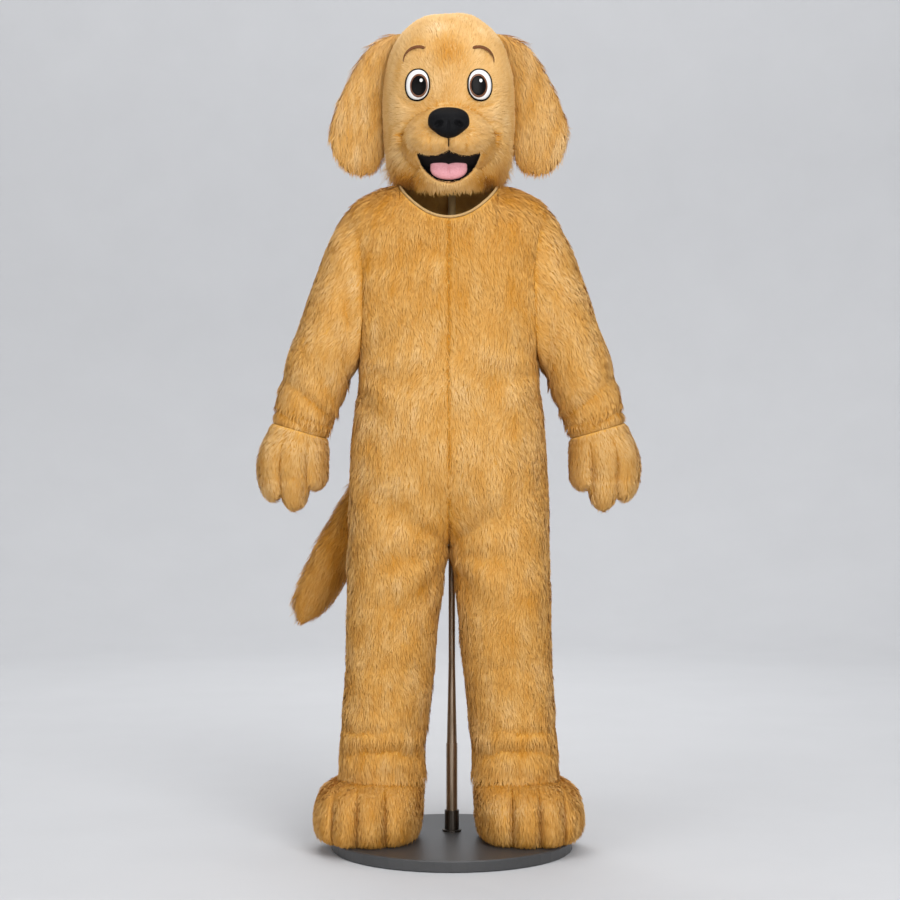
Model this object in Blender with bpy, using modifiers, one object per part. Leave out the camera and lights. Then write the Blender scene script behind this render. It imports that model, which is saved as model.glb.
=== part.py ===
# Dog mascot costume on its display stand: a furred one-piece suit with mitts, boots and tail,
# a hollow head that lifts off, and a round-based stand whose yoke and neck post carry them.
# Metres, +Z up, the costume faces -Y, and the origin is under the middle of the base.

import math

import bmesh
import bpy
import numpy as np
from mathutils.bvhtree import BVHTree

# ---- driving sizes --------------------------------------------------------------------------

GAP = 0.0003              # between pieces that meet
SUIT_X = -0.007           # the suit hangs this far to one side of the pole
WALL = 0.008              # suit cloth with its lying pile
HEAD_WALL = 0.012         # foam shell of the head with its fur
BOOT_WALL = 0.010

BASE_RADIUS = 0.2715
BASE_HEIGHT = 0.025
POLE_Y = 0.060            # the pole stands behind the boots
SOCKET_TOP = 0.073
LOWER_POLE_TOP = 0.226
FERRULE_TOP = 0.410
HUB_BOTTOM = 1.330
HUB_TOP = 1.385
UPPER_POLE_RADIUS = 0.0076
NECK_POST_RADIUS = 0.0088
CAP_RADIUS = 0.026
CAP_GAP = 0.0010
YOKE_GAP = 0.0013

HEM = 0.162               # where the legs meet the boots
CROTCH = 0.682
CREASE_TOP = 0.860        # the centre seam starts to sink towards the crotch here
LEG_TOP = 0.560           # the outer side of each leg is fully an oval of its own below this
ARMPIT = 1.085
YOKE_LINE = 1.330         # the chest starts to round over to the shoulders here
SHOULDER_TIP = 1.452
NECK_SIDE_X = 0.1145
NECK_FRONT = 1.407
NECK_BACK = 1.508
TORSO_POWER = 2.4         # superellipse exponents: 2 is an ellipse, more is squarer
LEG_POWER = 2.15
# The seat seam stays open round the pole by this much on each side of the suit's middle.
POLE_SLITS = {1: 0.0180, -1: 0.0045}
SLIT_REACH = 0.034

PANEL_COLUMNS = 8         # points across one body panel
CURVE_STEPS = 5           # rows from the yoke line up to the shoulder seam

# One row for each height of the suit: the outer edge of body or leg, and how far it
# reaches to the front and to the back.
SUIT_NAMES = ("height", "outer", "front", "back")
SUIT_ROWS = (
    (0.162, 0.2475, 0.098, 0.090),
    (0.236, 0.2455, 0.099, 0.092),
    (0.320, 0.2395, 0.100, 0.098),
    (0.440, 0.2335, 0.104, 0.108),
    (0.560, 0.2310, 0.112, 0.122),
    (0.660, 0.2285, 0.122, 0.138),
    (0.750, 0.2268, 0.132, 0.152),
    (0.830, 0.2245, 0.138, 0.156),
    (0.920, 0.2195, 0.140, 0.148),
    (1.000, 0.2105, 0.138, 0.140),
    (1.054, 0.2045, 0.136, 0.136),
    (1.100, 0.2055, 0.134, 0.136),
    (1.150, 0.2200, 0.132, 0.137),
    (1.250, 0.2320, 0.130, 0.136),
    (1.330, 0.2350, 0.126, 0.132),
)

INSEAM_NAMES = ("height", "inner")
INSEAM_ROWS = (
    (0.162, 0.0535),
    (0.236, 0.0500),
    (0.320, 0.0400),
    (0.440, 0.0290),
    (0.560, 0.0160),
    (0.620, 0.0085),
    (0.660, 0.0030),
    (0.682, 0.0008),
    (0.900, 0.0008),
)

ARMHOLE_NAMES = ("height", "edge")
ARMHOLE_ROWS = (
    (1.085, 0.2045),
    (1.100, 0.1995),
    (1.150, 0.1945),
    (1.220, 0.1905),
    (1.280, 0.1905),
    (1.330, 0.1930),
    (1.390, 0.2030),
    (1.452, 0.2145),
)

SHOULDER_NAMES = ("x", "height")
SHOULDER_ROWS = (
    (0.0000, 1.560),
    (0.0600, 1.543),
    (0.1145, 1.498),
    (0.1570, 1.484),
    (0.1980, 1.464),
    (0.2145, 1.452),
)

# Gathered cloth: where a fold's crest runs round a leg, how far it stands out, how tall it
# is, which way it faces (0 is outward, 90 is to the front), how far round it reaches in
# degrees, and how much it drops from its inner to its outer end.
FOLD_NAMES = ("height", "depth", "half_height", "facing", "reach", "drop")
LEG_FOLDS = (
    (0.198, 0.0060, 0.014, 80, 95, 0.010),
    (0.256, 0.0055, 0.013, 100, 90, -0.008),
    (0.300, 0.0040, 0.015, 70, 70, 0.012),
    (0.210, 0.0060, 0.014, 270, 95, -0.008),
    (0.268, 0.0050, 0.015, 250, 85, 0.010),
    (0.470, 0.0035, 0.022, 265, 70, 0.012),
)

SUIT_HEIGHTS = (HEM, 0.180, 0.198, 0.214, 0.232, 0.250, 0.268, 0.290, 0.320, 0.380, 0.450, 0.530,
                0.610, 0.655, CROTCH, 0.688, 0.700, 0.716, 0.745, 0.790, CREASE_TOP, 0.930, 1.010,
                ARMPIT, 1.100, 1.125, 1.170, 1.225, 1.280, YOKE_LINE)

# Rings of a sleeve from the shoulder to the wrist: its outer edge, its inner edge and its
# half depth. The first ring is the armhole itself.
SLEEVE_NAMES = ("outer_x", "outer_z", "inner_x", "inner_z", "depth")
SLEEVE_ROWS = (
    (0.2145, 1.452, 0.2045, 1.085, 0.090),
    (0.246, 1.422, 0.2065, 1.079, 0.095),
    (0.274, 1.360, 0.2110, 1.068, 0.097),
    (0.306, 1.271, 0.2200, 1.049, 0.094),
    (0.340, 1.173, 0.2320, 1.020, 0.088),
    (0.368, 1.087, 0.2460, 0.987, 0.082),
    (0.382, 1.040, 0.2530, 0.969, 0.077),
    (0.390, 1.010, 0.2590, 0.953, 0.077),
    (0.393, 0.985, 0.2640, 0.938, 0.071),
    (0.400, 0.957, 0.2720, 0.920, 0.066),
)
SLEEVE_BLEND = 0.45       # share of the sleeve over which the armhole turns into an oval
SLEEVE_Y = 0.004

MITT_ROWS = (
    (0.400, 0.957, 0.2720, 0.920, 0.066),
    (0.417, 0.925, 0.2690, 0.905, 0.069),
    (0.430, 0.893, 0.2685, 0.885, 0.070),
    (0.4355, 0.862, 0.2685, 0.862, 0.067),
    (0.4345, 0.838, 0.2690, 0.838, 0.062),
)
MITT_FINGERS = (          # each finger's outer split, counted from the body, and its lowest point
    (0.318, 0.797),
    (0.378, 0.758),
    (0.4345, 0.770),
)
MITT_CAP = (0.985, 0.93, 0.82, 0.66, 0.45, 0.20)
FINGER_POINTS = 4
MITT_POWER = 2.2

BOOT_NAMES = ("height", "inner", "outer", "front", "back", "toes")
BOOT_ROWS = (
    (0.1617, 0.0535, 0.2475, 0.098, 0.090, 0.0),
    (0.150, 0.0535, 0.268, 0.118, 0.096, 0.1),
    (0.130, 0.0540, 0.290, 0.145, 0.104, 0.6),
    (0.100, 0.0550, 0.302, 0.164, 0.110, 1.0),
    (0.070, 0.0570, 0.3065, 0.172, 0.112, 1.0),
    (0.046, 0.0610, 0.302, 0.168, 0.110, 1.0),
    (0.032, 0.0680, 0.293, 0.158, 0.104, 0.8),
    (0.0253, 0.0800, 0.281, 0.144, 0.094, 0.5),
)
TOE_SPLITS = (0.1388, 0.2011, 0.2567)
TOE_POWER = 2.5
TOE_GROOVE = 0.030        # how deep the seams between the toes are drawn in
TOE_POINTS = 5
HEEL_POINTS = 10

# The head is a rounded shell, and these bumps are pushed out of its front. Each has a
# centre, half sizes, height and the power of its dome.
HEAD_CENTRE = (0.0, 0.005, 1.6575)
HEAD_HALF = (0.1490, 0.150, 0.2195)
HEAD_POWER = 2.5
HEAD_STEPS = (0.03, 0.08, 0.14, 0.22, 0.32, 0.42, 0.50, 0.56, 0.60, 0.63, 0.655, 0.68, 0.705,
              0.73, 0.755, 0.78, 0.805, 0.83, 0.855, 0.88, 0.91, 0.95, 1.0)
HEAD_INNER_STEPS = (0.03, 0.07, 0.11, 0.15, 0.19, 0.24, 0.30, 0.40, 0.52, 0.60, 0.66, 0.71, 0.76,
                    0.81, 0.86, 0.92, 1.0)
INNER_REACH = 0.020       # the inside stays behind the deepest part of the face within this far
HEAD_RIM_MIDDLE = 1.500
HEAD_RIM_TILT = 0.036     # the neck hole's edge is lower under the chin and higher behind
BUMP_NAMES = ("x", "z", "half_x", "half_z", "height", "power")
FACE_BUMPS = (
    (0.000, 1.5700, 0.100, 0.074, 0.074, 0.60),    # muzzle
    (-0.043, 1.5580, 0.054, 0.040, 0.010, 0.9),    # pads
    (0.043, 1.5580, 0.054, 0.040, 0.010, 0.9),
    (0.000, 1.4860, 0.078, 0.056, 0.056, 0.60),    # lower jaw
    (-0.095, 1.5450, 0.060, 0.070, 0.016, 1.2),    # cheeks
    (0.095, 1.5450, 0.060, 0.070, 0.016, 1.2),
)
MOUTH_CORNER = (0.070, 1.5440)
MOUTH_BOTTOM = 1.4800
MOUTH_NOTCH = 1.5450      # where the two pads meet
PAD_DROP = 0.0105         # how far each pad's edge hangs below that
MOUTH_DEPTH = 0.034
LINING_SHARE = 0.80       # the lining's width as a share of the mouth's
LINING_EDGE = 0.0060      # it stops this far inside the lips
LINING_GAP = 0.0006
LINING_REACH = 0.006
LINING_THICK = 0.0014

EAR_NAMES = ("height", "away", "outer", "depth")    # away is from the head's side
EAR_ROWS = (
    (1.838, 0.0090, 0.1420, 0.0080),
    (1.824, 0.0050, 0.1640, 0.0150),
    (1.800, 0.0020, 0.1880, 0.0190),
    (1.771, 0.0008, 0.2092, 0.0210),
    (1.735, 0.0008, 0.2295, 0.0220),
    (1.699, 0.0008, 0.2476, 0.0225),
    (1.663, 0.0008, 0.2611, 0.0230),
    (1.618, 0.0008, 0.2724, 0.0230),
    (1.575, 0.0060, 0.2650, 0.0220),
    (1.540, 0.0260, 0.2440, 0.0185),
    (1.519, 0.0480, 0.2230, 0.0110),
)
EAR_Y = 0.004

# Face pieces: centre on the face, half sizes and thickness.
PATCH_NAMES = ("x", "z", "half_x", "half_z", "thick", "power")
EYE = (0.0685, 1.6957, 0.0250, 0.0330, 0.0070, 2.2)
NOSE = (0.0, 1.6000, 0.0448, 0.0341, 0.0280, 2.5)
NOSE_GAP = 0.0011
TONGUE = (0.0, 1.5070, 0.0370, 0.0200, 0.0120, 2.3)
BROW_ARC = (0.0690, 1.7520, 0.0310, 0.0290)       # centre x, z and half sizes of the arc
BROW_TURN = (-5, 122)                             # degrees round the arc
BROW_WIDTH = 0.0070
BROW_THICK = 0.0030

TAIL_NAMES = ("x", "y", "z", "radius")
TAIL_ROWS = (
    (0.000, 0.152, 0.915, 0.036),
    (-0.045, 0.187, 0.922, 0.044),
    (-0.115, 0.218, 0.880, 0.053),
    (-0.181, 0.226, 0.798, 0.060),
    (-0.2475, 0.222, 0.685, 0.062),
    (-0.296, 0.216, 0.594, 0.058),
    (-0.330, 0.211, 0.527, 0.036),
)
TAIL_TIP = (-0.350, 0.208, 0.490)

BINDING_RADIUS = 0.0030
NECK_MIDDLE = (0.0, -0.020, 1.600)
ZIP_TOP = 1.480
ZIP_BOTTOM = 0.975
ZIP_HALF_WIDTH = 0.0085
ZIP_THICK = 0.0016

COLOURS = {               # base colour, roughness, metallic
    "suit_fur": ((0.72, 0.46, 0.19, 1.0), 0.9, 0.0),
    "head_fur": ((0.80, 0.57, 0.29, 1.0), 0.9, 0.0),
    "tan_tape": ((0.55, 0.38, 0.19, 1.0), 0.8, 0.0),
    "nose_black": ((0.012, 0.012, 0.013, 1.0), 0.4, 0.0),
    "eye_white": ((0.90, 0.90, 0.88, 1.0), 0.2, 0.0),
    "brow_brown": ((0.20, 0.09, 0.03, 1.0), 0.9, 0.0),
    "mouth_black": ((0.010, 0.009, 0.009, 1.0), 0.8, 0.0),
    "tongue_pink": ((0.75, 0.34, 0.34, 1.0), 0.6, 0.0),
    "base_grey": ((0.07, 0.075, 0.08, 1.0), 0.4, 0.8),
    "pole_bronze": ((0.12, 0.085, 0.06, 1.0), 0.35, 0.9),
    "zip_metal": ((0.35, 0.29, 0.18, 1.0), 0.3, 0.9),
}


# ---- reading the tables ---------------------------------------------------------------------

def table(names, rows):
    """A table's columns by name."""
    return {name: np.array(column, dtype=float) for name, column in zip(names, zip(*rows))}


def smooth(keys, values, at):
    """A smooth curve through the rows: Hermite pieces with the rows' own mean slopes."""
    slopes = np.gradient(values, keys)
    at = np.clip(at, keys[0], keys[-1])
    i = np.clip(np.searchsorted(keys, at) - 1, 0, len(keys) - 2)
    span = keys[i + 1] - keys[i]
    t = (at - keys[i]) / span
    return ((2 * t ** 3 - 3 * t ** 2 + 1) * values[i] + (t ** 3 - 2 * t ** 2 + t) * span * slopes[i]
            + (3 * t ** 2 - 2 * t ** 3) * values[i + 1] + (t ** 3 - t ** 2) * span * slopes[i + 1])


def ease(t):
    """0 to 1 with flat ends."""
    t = np.clip(t, 0.0, 1.0)
    return t * t * (3 - 2 * t)


def power_of(value, exponent):
    """A power that keeps the sign, as superellipses need."""
    return np.sign(value) * np.abs(value) ** exponent


SUIT = table(SUIT_NAMES, SUIT_ROWS)
INSEAM = table(INSEAM_NAMES, INSEAM_ROWS)
ARMHOLE = table(ARMHOLE_NAMES, ARMHOLE_ROWS)
SHOULDER = table(SHOULDER_NAMES, SHOULDER_ROWS)


# ---- meshes ---------------------------------------------------------------------------------

def material(name):
    """A Principled material of the given finish, made once."""
    found = bpy.data.materials.get(name)
    if found:
        return found
    colour, roughness, metallic = COLOURS[name]
    made = bpy.data.materials.new(name)
    made.use_nodes = True
    shader = made.node_tree.nodes["Principled BSDF"]
    shader.inputs["Base Color"].default_value = colour
    shader.inputs["Roughness"].default_value = roughness
    shader.inputs["Metallic"].default_value = metallic
    return made


def place(name, points, faces, finish, shift=SUIT_X, smooth_faces=True):
    """A mesh object from points and faces, with its normals turned outward."""
    points = np.array(points, dtype=float) + (shift, 0.0, 0.0)
    mesh = bpy.data.meshes.new(name)
    mesh.from_pydata(points.tolist(), [], faces)
    work = bmesh.new()
    work.from_mesh(mesh)
    bmesh.ops.recalc_face_normals(work, faces=work.faces)
    work.to_mesh(mesh)
    work.free()
    if smooth_faces:
        mesh.shade_smooth()
        mesh.set_sharp_from_angle(angle=math.radians(50))
    mesh.materials.append(material(finish))
    thing = bpy.data.objects.new(name, mesh)
    COLLECTION.objects.link(thing)
    return thing


def strip(first, second, closed):
    """Quads between two rows of point numbers."""
    count = len(first)
    last = count if closed else count - 1
    return [(first[i], first[(i + 1) % count], second[(i + 1) % count], second[i])
            for i in range(last)]


def wall(name, outer, inner, finish):
    """A closed wall between two grids of points (rows, columns, 3), joined round the edge."""
    rows, columns = outer.shape[:2]
    number = np.arange(rows * columns).reshape(rows, columns)
    back = number + rows * columns
    faces = []
    for i in range(rows - 1):
        faces += strip(number[i], number[i + 1], False)
        faces += strip(back[i + 1], back[i], False)
    for edge in (0, -1):
        faces += strip(number[edge], back[edge], False)
        faces += strip(number[:, edge], back[:, edge], False)
    faces = [tuple(int(n) for n in face) for face in faces]
    return place(name, np.concatenate((outer.reshape(-1, 3), inner.reshape(-1, 3))), faces, finish)


def loft(name, rings, finish, start=None, end=None, joined=False):
    """A skin over closed rings. A start or end point closes it, or joined makes it a loop."""
    count = len(rings[0])
    points = [point for ring in rings for point in ring]
    number = np.arange(len(points)).reshape(len(rings), count)
    faces = []
    for i in range(len(rings) - 1):
        faces += strip(number[i], number[i + 1], True)
    if joined:
        faces += strip(number[-1], number[0], True)
    for ring, pole in ((number[0], start), (number[-1], end)):
        if pole is not None:
            points.append(pole)
            faces += [(ring[i], ring[(i + 1) % count], len(points) - 1) for i in range(count)]
    faces = [tuple(int(n) for n in face) for face in faces]
    return place(name, np.array(points), faces, finish)


def turned(name, profile, finish, at=(0.0, 0.0), steps=40):
    """A turned solid: (radius, height) rows down its outer side, closed on the axis."""
    mesh = bpy.data.meshes.new(name)
    points = [(radius, 0.0, height) for radius, height in profile]
    edges = [(i, i + 1) for i in range(len(points) - 1)]
    if profile[0][0] > 0:
        edges.append((len(points) - 1, 0))
    mesh.from_pydata(points, edges, [])
    mesh.materials.append(material(finish))
    thing = bpy.data.objects.new(name, mesh)
    thing.location = (at[0], at[1], 0.0)
    screw = thing.modifiers.new("turn", "SCREW")
    screw.steps = screw.render_steps = steps
    screw.use_merge_vertices = True
    screw.merge_threshold = 0.00005
    screw.use_smooth_shade = True
    COLLECTION.objects.link(thing)
    return thing


def tube(name, points, radius, finish, steps=2):
    """A round bar along a smooth path."""
    curve = bpy.data.curves.new(name, "CURVE")
    curve.dimensions = "3D"
    curve.bevel_depth = radius
    curve.bevel_resolution = steps
    curve.use_fill_caps = True
    spline = curve.splines.new("POLY")
    spline.points.add(len(points) - 1)
    for slot, point in zip(spline.points, points):
        slot.co = (*point, 1.0)
    curve.materials.append(material(finish))
    thing = bpy.data.objects.new(name, curve)
    COLLECTION.objects.link(thing)
    return thing


# ---- the suit's body and legs ---------------------------------------------------------------

def fold_relief(folds, height, angle):
    """How far the gathered cloth stands out at a height and an angle round the leg."""
    out = np.zeros_like(height)
    for row in folds:
        fold = dict(zip(FOLD_NAMES, row))
        turn = (np.degrees(angle) - fold["facing"] + 180) % 360 - 180
        crest = fold["height"] - fold["drop"] * turn / fold["reach"]
        across = np.exp(-((height - crest) / fold["half_height"]) ** 2)
        out += fold["depth"] * across * np.clip(1 - (turn / fold["reach"]) ** 2, 0, 1)
    return out


def suit_point(across, height, round_over, back, inset, side=1):
    """A point of a body panel.

    across runs from the centre seam or inseam (0) to the side seam or armhole (1), height
    is along the body up to the yoke line, and round_over (0 to 1) is the quarter turn from
    the yoke line to the shoulder seam. inset moves the point inward.
    """
    reach = "back" if back else "front"
    theta = round_over * np.pi / 2
    level = np.where(round_over > 0, YOKE_LINE + (SHOULDER_TIP - YOKE_LINE) * np.sin(theta), height)
    outer = smooth(SUIT["height"], SUIT["outer"], level)
    depth = smooth(SUIT["height"], SUIT[reach], level) - inset
    edge = smooth(ARMHOLE["height"], ARMHOLE["edge"], level)
    body = outer - inset
    limit = np.where(level > ARMPIT, np.clip(edge / body, 0, 1), 1.0)
    turn = across * np.arcsin(limit ** (TORSO_POWER / 2))
    round_x = body * power_of(np.sin(turn), 2 / TORSO_POWER)
    even = ease((level - ARMPIT) / (YOKE_LINE - ARMPIT))
    torso_x = (1 - even) * round_x + even * edge * across
    left = np.clip(1 - (torso_x / body) ** TORSO_POWER, 0, 1)
    torso_y = depth * left ** (1 / TORSO_POWER)

    # Above the yoke line the panel rounds over to meet the other one at the shoulder seam.
    top = smooth(SHOULDER["x"], SHOULDER["height"], torso_x) - inset
    z = np.where(round_over > 0, YOKE_LINE + (top - YOKE_LINE) * np.sin(theta), height)
    torso_y = torso_y * np.cos(theta)

    # Below the crease the half body turns into a leg, an oval of its own.
    inner = smooth(INSEAM["height"], INSEAM["inner"], height) + inset
    middle = (outer - inset + inner) / 2
    half = (outer - inset - inner) / 2
    leg_turn = across * np.pi
    fold = fold_relief(LEG_FOLDS, height, (np.pi - leg_turn) * (-1 if back else 1) % (2 * np.pi))
    leg_x = middle - (half + fold) * power_of(np.cos(leg_turn), 2 / LEG_POWER)
    leg_y = (depth + fold) * power_of(np.sin(leg_turn), 2 / LEG_POWER)
    sink = np.clip((CREASE_TOP - height) / (CREASE_TOP - CROTCH), 0.0, 1.0)
    at_seam = 1 - np.sqrt(1 - sink ** 2)
    at_side = ease((CREASE_TOP - height) / (CREASE_TOP - LEG_TOP))
    aside = ease(across / 0.45)
    blend = (1 - aside) * at_seam + aside * at_side
    x = (1 - blend) * torso_x + blend * leg_x
    y = (1 - blend) * torso_y + blend * leg_y

    # The seam edge stays just off the middle, and opens for the pole in the seat.
    x = np.maximum(x, GAP / 2)
    if back:
        slit = POLE_SLITS[side] * np.exp(-((y - POLE_Y) / SLIT_REACH) ** 4)
        x = np.where(height < CREASE_TOP, np.maximum(x, slit), x)
    return np.stack((x, y + GAP / 2 if back else -y - GAP / 2, z), axis=-1)


def neck_turn(across, back):
    """How far round the shoulder turn the neckline cuts the panel at each column."""
    x = across * SHOULDER["x"][-1]
    top = smooth(SHOULDER["x"], SHOULDER["height"], x)
    middle = NECK_BACK if back else NECK_FRONT
    side = SHOULDER["height"][2]
    sag = np.clip(1 - (x / NECK_SIDE_X) ** 2.0, 0.0, 1.0) ** 0.62
    line = side + (middle - side) * sag
    return np.where(x >= NECK_SIDE_X, 1.0,
                    np.arcsin(np.clip((line - YOKE_LINE) / (top - YOKE_LINE), 0, 1)) * 2 / np.pi)


def panel_columns():
    """The columns of a panel: even, with one on the neck's side point."""
    neck = NECK_SIDE_X / SHOULDER["x"][-1]
    inside = np.linspace(0.0, neck, PANEL_COLUMNS // 2 + 1)
    outside = np.linspace(neck, 1.0, PANEL_COLUMNS - len(inside) + 1)
    return np.concatenate((inside, outside[1:]))


def panel_grid(back, inset, side=1):
    """All points of a panel, from the hem up to the neckline and shoulder seam."""
    across = panel_columns()
    rows = []
    for height in SUIT_HEIGHTS:
        rows.append(suit_point(across, np.full_like(across, height), np.zeros_like(across),
                               back, inset, side))
    turn = neck_turn(across, back)
    for step in range(1, CURVE_STEPS + 1):
        round_over = turn * step / CURVE_STEPS
        rows.append(suit_point(across, np.full_like(across, YOKE_LINE), round_over,
                               back, inset, side))
    return np.array(rows)


def mirrored(points, side):
    """Points of the +X side, or their mirror image."""
    return points * (side, 1.0, 1.0)


def make_body():
    """Four panels from shoulder to ankle."""
    for side, word in ((-1, "right"), (1, "left")):
        for back, where in ((False, "front"), (True, "back")):
            outer = mirrored(panel_grid(back, 0.0, side), side)
            inner = mirrored(panel_grid(back, WALL, side), side)
            wall(f"suit_{where}_{word}", outer, inner, "suit_fur")


def armhole_ring():
    """The armhole's edge: from the shoulder tip down the front and up the back."""
    first = SUIT_HEIGHTS.index(ARMPIT)
    front = panel_grid(False, 0.0)[first:, -1]
    back = panel_grid(True, 0.0)[first:, -1]
    return np.concatenate((front[::-1], back[1:-1]))


# ---- sleeves and mitts ----------------------------------------------------------------------

def oval(row, count):
    """A ring between an outer and an inner edge point, starting at the outer edge."""
    outer = np.array((row["outer_x"], SLEEVE_Y, row["outer_z"]))
    inner = np.array((row["inner_x"], SLEEVE_Y, row["inner_z"]))
    turn = np.linspace(0, 2 * np.pi, count, endpoint=False)[:, None]
    depth = np.array((0.0, -row["depth"], 0.0))
    return (outer + inner) / 2 + (outer - inner) / 2 * np.cos(turn) + depth * np.sin(turn)


def shrunk(ring, inset):
    """A ring moved in towards its own middle by a wall's thickness."""
    middle = ring.mean(axis=0)
    arm = ring - middle
    return middle + arm * (1 - inset / np.linalg.norm(arm, axis=1, keepdims=True))


def make_sleeves():
    """A tube from each armhole to its wrist."""
    hole = armhole_ring()
    rows = [dict(zip(SLEEVE_NAMES, row)) for row in SLEEVE_ROWS]
    rings = []
    for i, row in enumerate(rows):
        blend = ease(i / (len(rows) - 1) / SLEEVE_BLEND)
        ring = oval(row, len(hole))
        moved = hole - hole.mean(axis=0) + ring.mean(axis=0) if i else hole
        rings.append((1 - blend) * moved + blend * ring)
    rings[0] = rings[0] + (1.3 * GAP, 0.0, 0.0)
    inner = [shrunk(ring, WALL) for ring in rings]
    flat = rings[0] * (0.0, 1.0, 1.0)
    inner[0] = shrunk(flat, WALL) + rings[0] * (1.0, 0.0, 0.0)
    for side, word in ((-1, "right"), (1, "left")):
        loop = [mirrored(ring, side) for ring in rings + inner[::-1]]
        loft(f"sleeve_{word}", loop, "suit_fur", joined=True)


def mitt_columns():
    """Places across a mitt, from 0 at its outer edge to 1 at its inner one, and the share of
    the way across its finger that each one is."""
    splits = np.array([MITT_ROWS[-1][2]] + [row[0] for row in MITT_FINGERS])[::-1]
    steps = np.arange(FINGER_POINTS) / FINGER_POINTS
    x = np.concatenate([a + (b - a) * steps for a, b in zip(splits[:-1], splits[1:])])
    return (splits[0] - x) / (splits[0] - splits[-1]), np.tile(steps, len(MITT_FINGERS))


def mitt_ring(row, inset, deep):
    """A ring round the mitt, down its front from the outer edge and back up behind, drawn in
    by deep between the fingers."""
    outer = np.array((row["outer_x"], SLEEVE_Y, row["outer_z"]))
    inner = np.array((row["inner_x"], SLEEVE_Y, row["inner_z"]))
    aside = (inner - outer) / np.linalg.norm(inner - outer) * inset
    outer, inner = outer + aside, inner - aside
    across, lobe = mitt_columns()
    bulge = np.sin(np.pi * lobe) ** 0.6 * (0.0 if inset else 1.0)      # the inside has no slits
    both = []
    for front, place_at, lump in ((-1, across, bulge), (1, 1 - across, bulge[::-1])):
        if front > 0:
            lump = np.roll(bulge[::-1], 1)
            place_at = np.concatenate(((1.0,), across[:0:-1]))
        share = np.clip(2 * place_at - 1, -1, 1)
        depth = (row["depth"] - inset) * (1 - np.abs(share) ** MITT_POWER) ** (1 / MITT_POWER)
        line = outer + (inner - outer) * place_at[:, None]
        line[:, 1] += front * depth * (1 - deep * (1 - lump))
        both.append(line)
    return np.concatenate(both)


def finger_ends(x, low, least=0.45):
    """How far below a level the mitt reaches at each x: a rounded end for each finger. least
    is the share that is left between two fingers."""
    splits = np.array([MITT_ROWS[-1][2]] + [row[0] for row in MITT_FINGERS])
    which = np.clip(np.searchsorted(splits, x) - 1, 0, len(MITT_FINGERS) - 1)
    lobe = np.clip((x - splits[which]) / (splits[which + 1] - splits[which]), 0, 1)
    bottom = np.array([row[1] for row in MITT_FINGERS])[which]
    return (low - bottom) * (least + (1 - least) * np.sqrt(1 - (2 * lobe - 1) ** 2))


def mitt_rings(inset):
    """Rings from the wrist down to the finger tips, and the tip's own point."""
    rows = [dict(zip(SLEEVE_NAMES, row)) for row in MITT_ROWS]
    rings = [mitt_ring(row, inset, 0.30 * float(ease(np.array(i / (len(rows) - 1)))))
             for i, row in enumerate(rows)]
    last = rings[-1]
    middle = last.mean(axis=0)
    least = 0.20 if inset else 0.45
    for scale in MITT_CAP:
        ring = middle + (last - middle) * (scale, scale, 1.0)
        ring[:, 2] -= (finger_ends(ring[:, 0], middle[2], least) - inset) * np.sqrt(1 - scale ** 3.4)
        rings.append(ring)
    tip = middle - (0.0, 0.0, finger_ends(middle[:1], middle[2])[0] - inset)
    rings[0] = rings[0] + GAP * np.array((0.28, 0.0, -0.96))
    return rings, tip


def make_mitts():
    """A hollow paw mitt at the end of each sleeve."""
    outer, outer_tip = mitt_rings(0.0)
    inner, inner_tip = mitt_rings(WALL)
    for side, word in ((-1, "right"), (1, "left")):
        rings = [mirrored(ring, side) for ring in outer[::-1] + inner]
        loft(f"mitt_{word}", rings, "suit_fur", start=mirrored(outer_tip, side),
             end=mirrored(inner_tip, side))


# ---- boots ----------------------------------------------------------------------------------

def boot_ring(row, inset):
    """A level ring of the boot: across the toes from its outer side, then round the heel."""
    outer = row["outer"] - inset
    inner = row["inner"] + inset
    middle, half = (outer + inner) / 2, (outer - inner) / 2
    power = LEG_POWER + (TOE_POWER - LEG_POWER) * row["toes"]
    ends = np.array((row["inner"], *TOE_SPLITS, row["outer"]))
    lobe = np.tile(np.arange(TOE_POINTS) / TOE_POINTS, len(ends) - 1)
    which = np.repeat(np.arange(len(ends) - 1), TOE_POINTS)
    across = ends[which] + (ends[which + 1] - ends[which]) * lobe
    across = middle + (across - (row["inner"] + row["outer"]) / 2) * half * 2 / (row["outer"] - row["inner"])
    share = np.clip((across - middle) / half, -1, 1)
    bulge = np.sin(np.pi * lobe) ** 0.6 * (0.0 if inset else 1.0)      # the inside is smooth
    round_front = (1 - np.abs(share) ** power) ** (1 / power)
    front = row["front"] - inset - TOE_GROOVE * row["toes"] * (1 - bulge) * ease(round_front * 1.5)
    toes = np.stack((across, -front * round_front, np.full_like(across, row["height"])), axis=-1)
    turn = np.linspace(0, -np.pi, HEEL_POINTS, endpoint=False)
    x = middle + half * power_of(np.cos(turn), 2 / LEG_POWER)
    y = -(row["back"] - inset) * power_of(np.sin(turn), 2 / LEG_POWER)
    heel = np.stack((x, y, np.full_like(x, row["height"])), axis=-1)
    return np.concatenate((toes, heel))


def make_boots():
    """A hollow paw boot with a flat sole under each leg."""
    rows = [dict(zip(BOOT_NAMES, row)) for row in BOOT_ROWS]
    outer = [boot_ring(row, 0.0) for row in rows]
    inner = [boot_ring(row, BOOT_WALL) for row in rows[:-2]]
    sole = outer[-1].mean(axis=0)
    floor = inner[-1].mean(axis=0)
    inset_sole = sole + (outer[-1] - sole) * (0.5, 0.5, 1.0)
    inset_floor = floor + (inner[-1] - floor) * (0.85, 0.85, 1.0) - (0.0, 0.0, 0.006)
    floor = floor - (0.0, 0.0, 0.006)
    for side, word in ((-1, "right"), (1, "left")):
        rings = [inset_sole] + outer[::-1] + inner + [inset_floor]
        loft(f"boot_{word}", [mirrored(ring, side) for ring in rings], "suit_fur",
             start=mirrored(sole, side), end=mirrored(floor, side))


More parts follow.
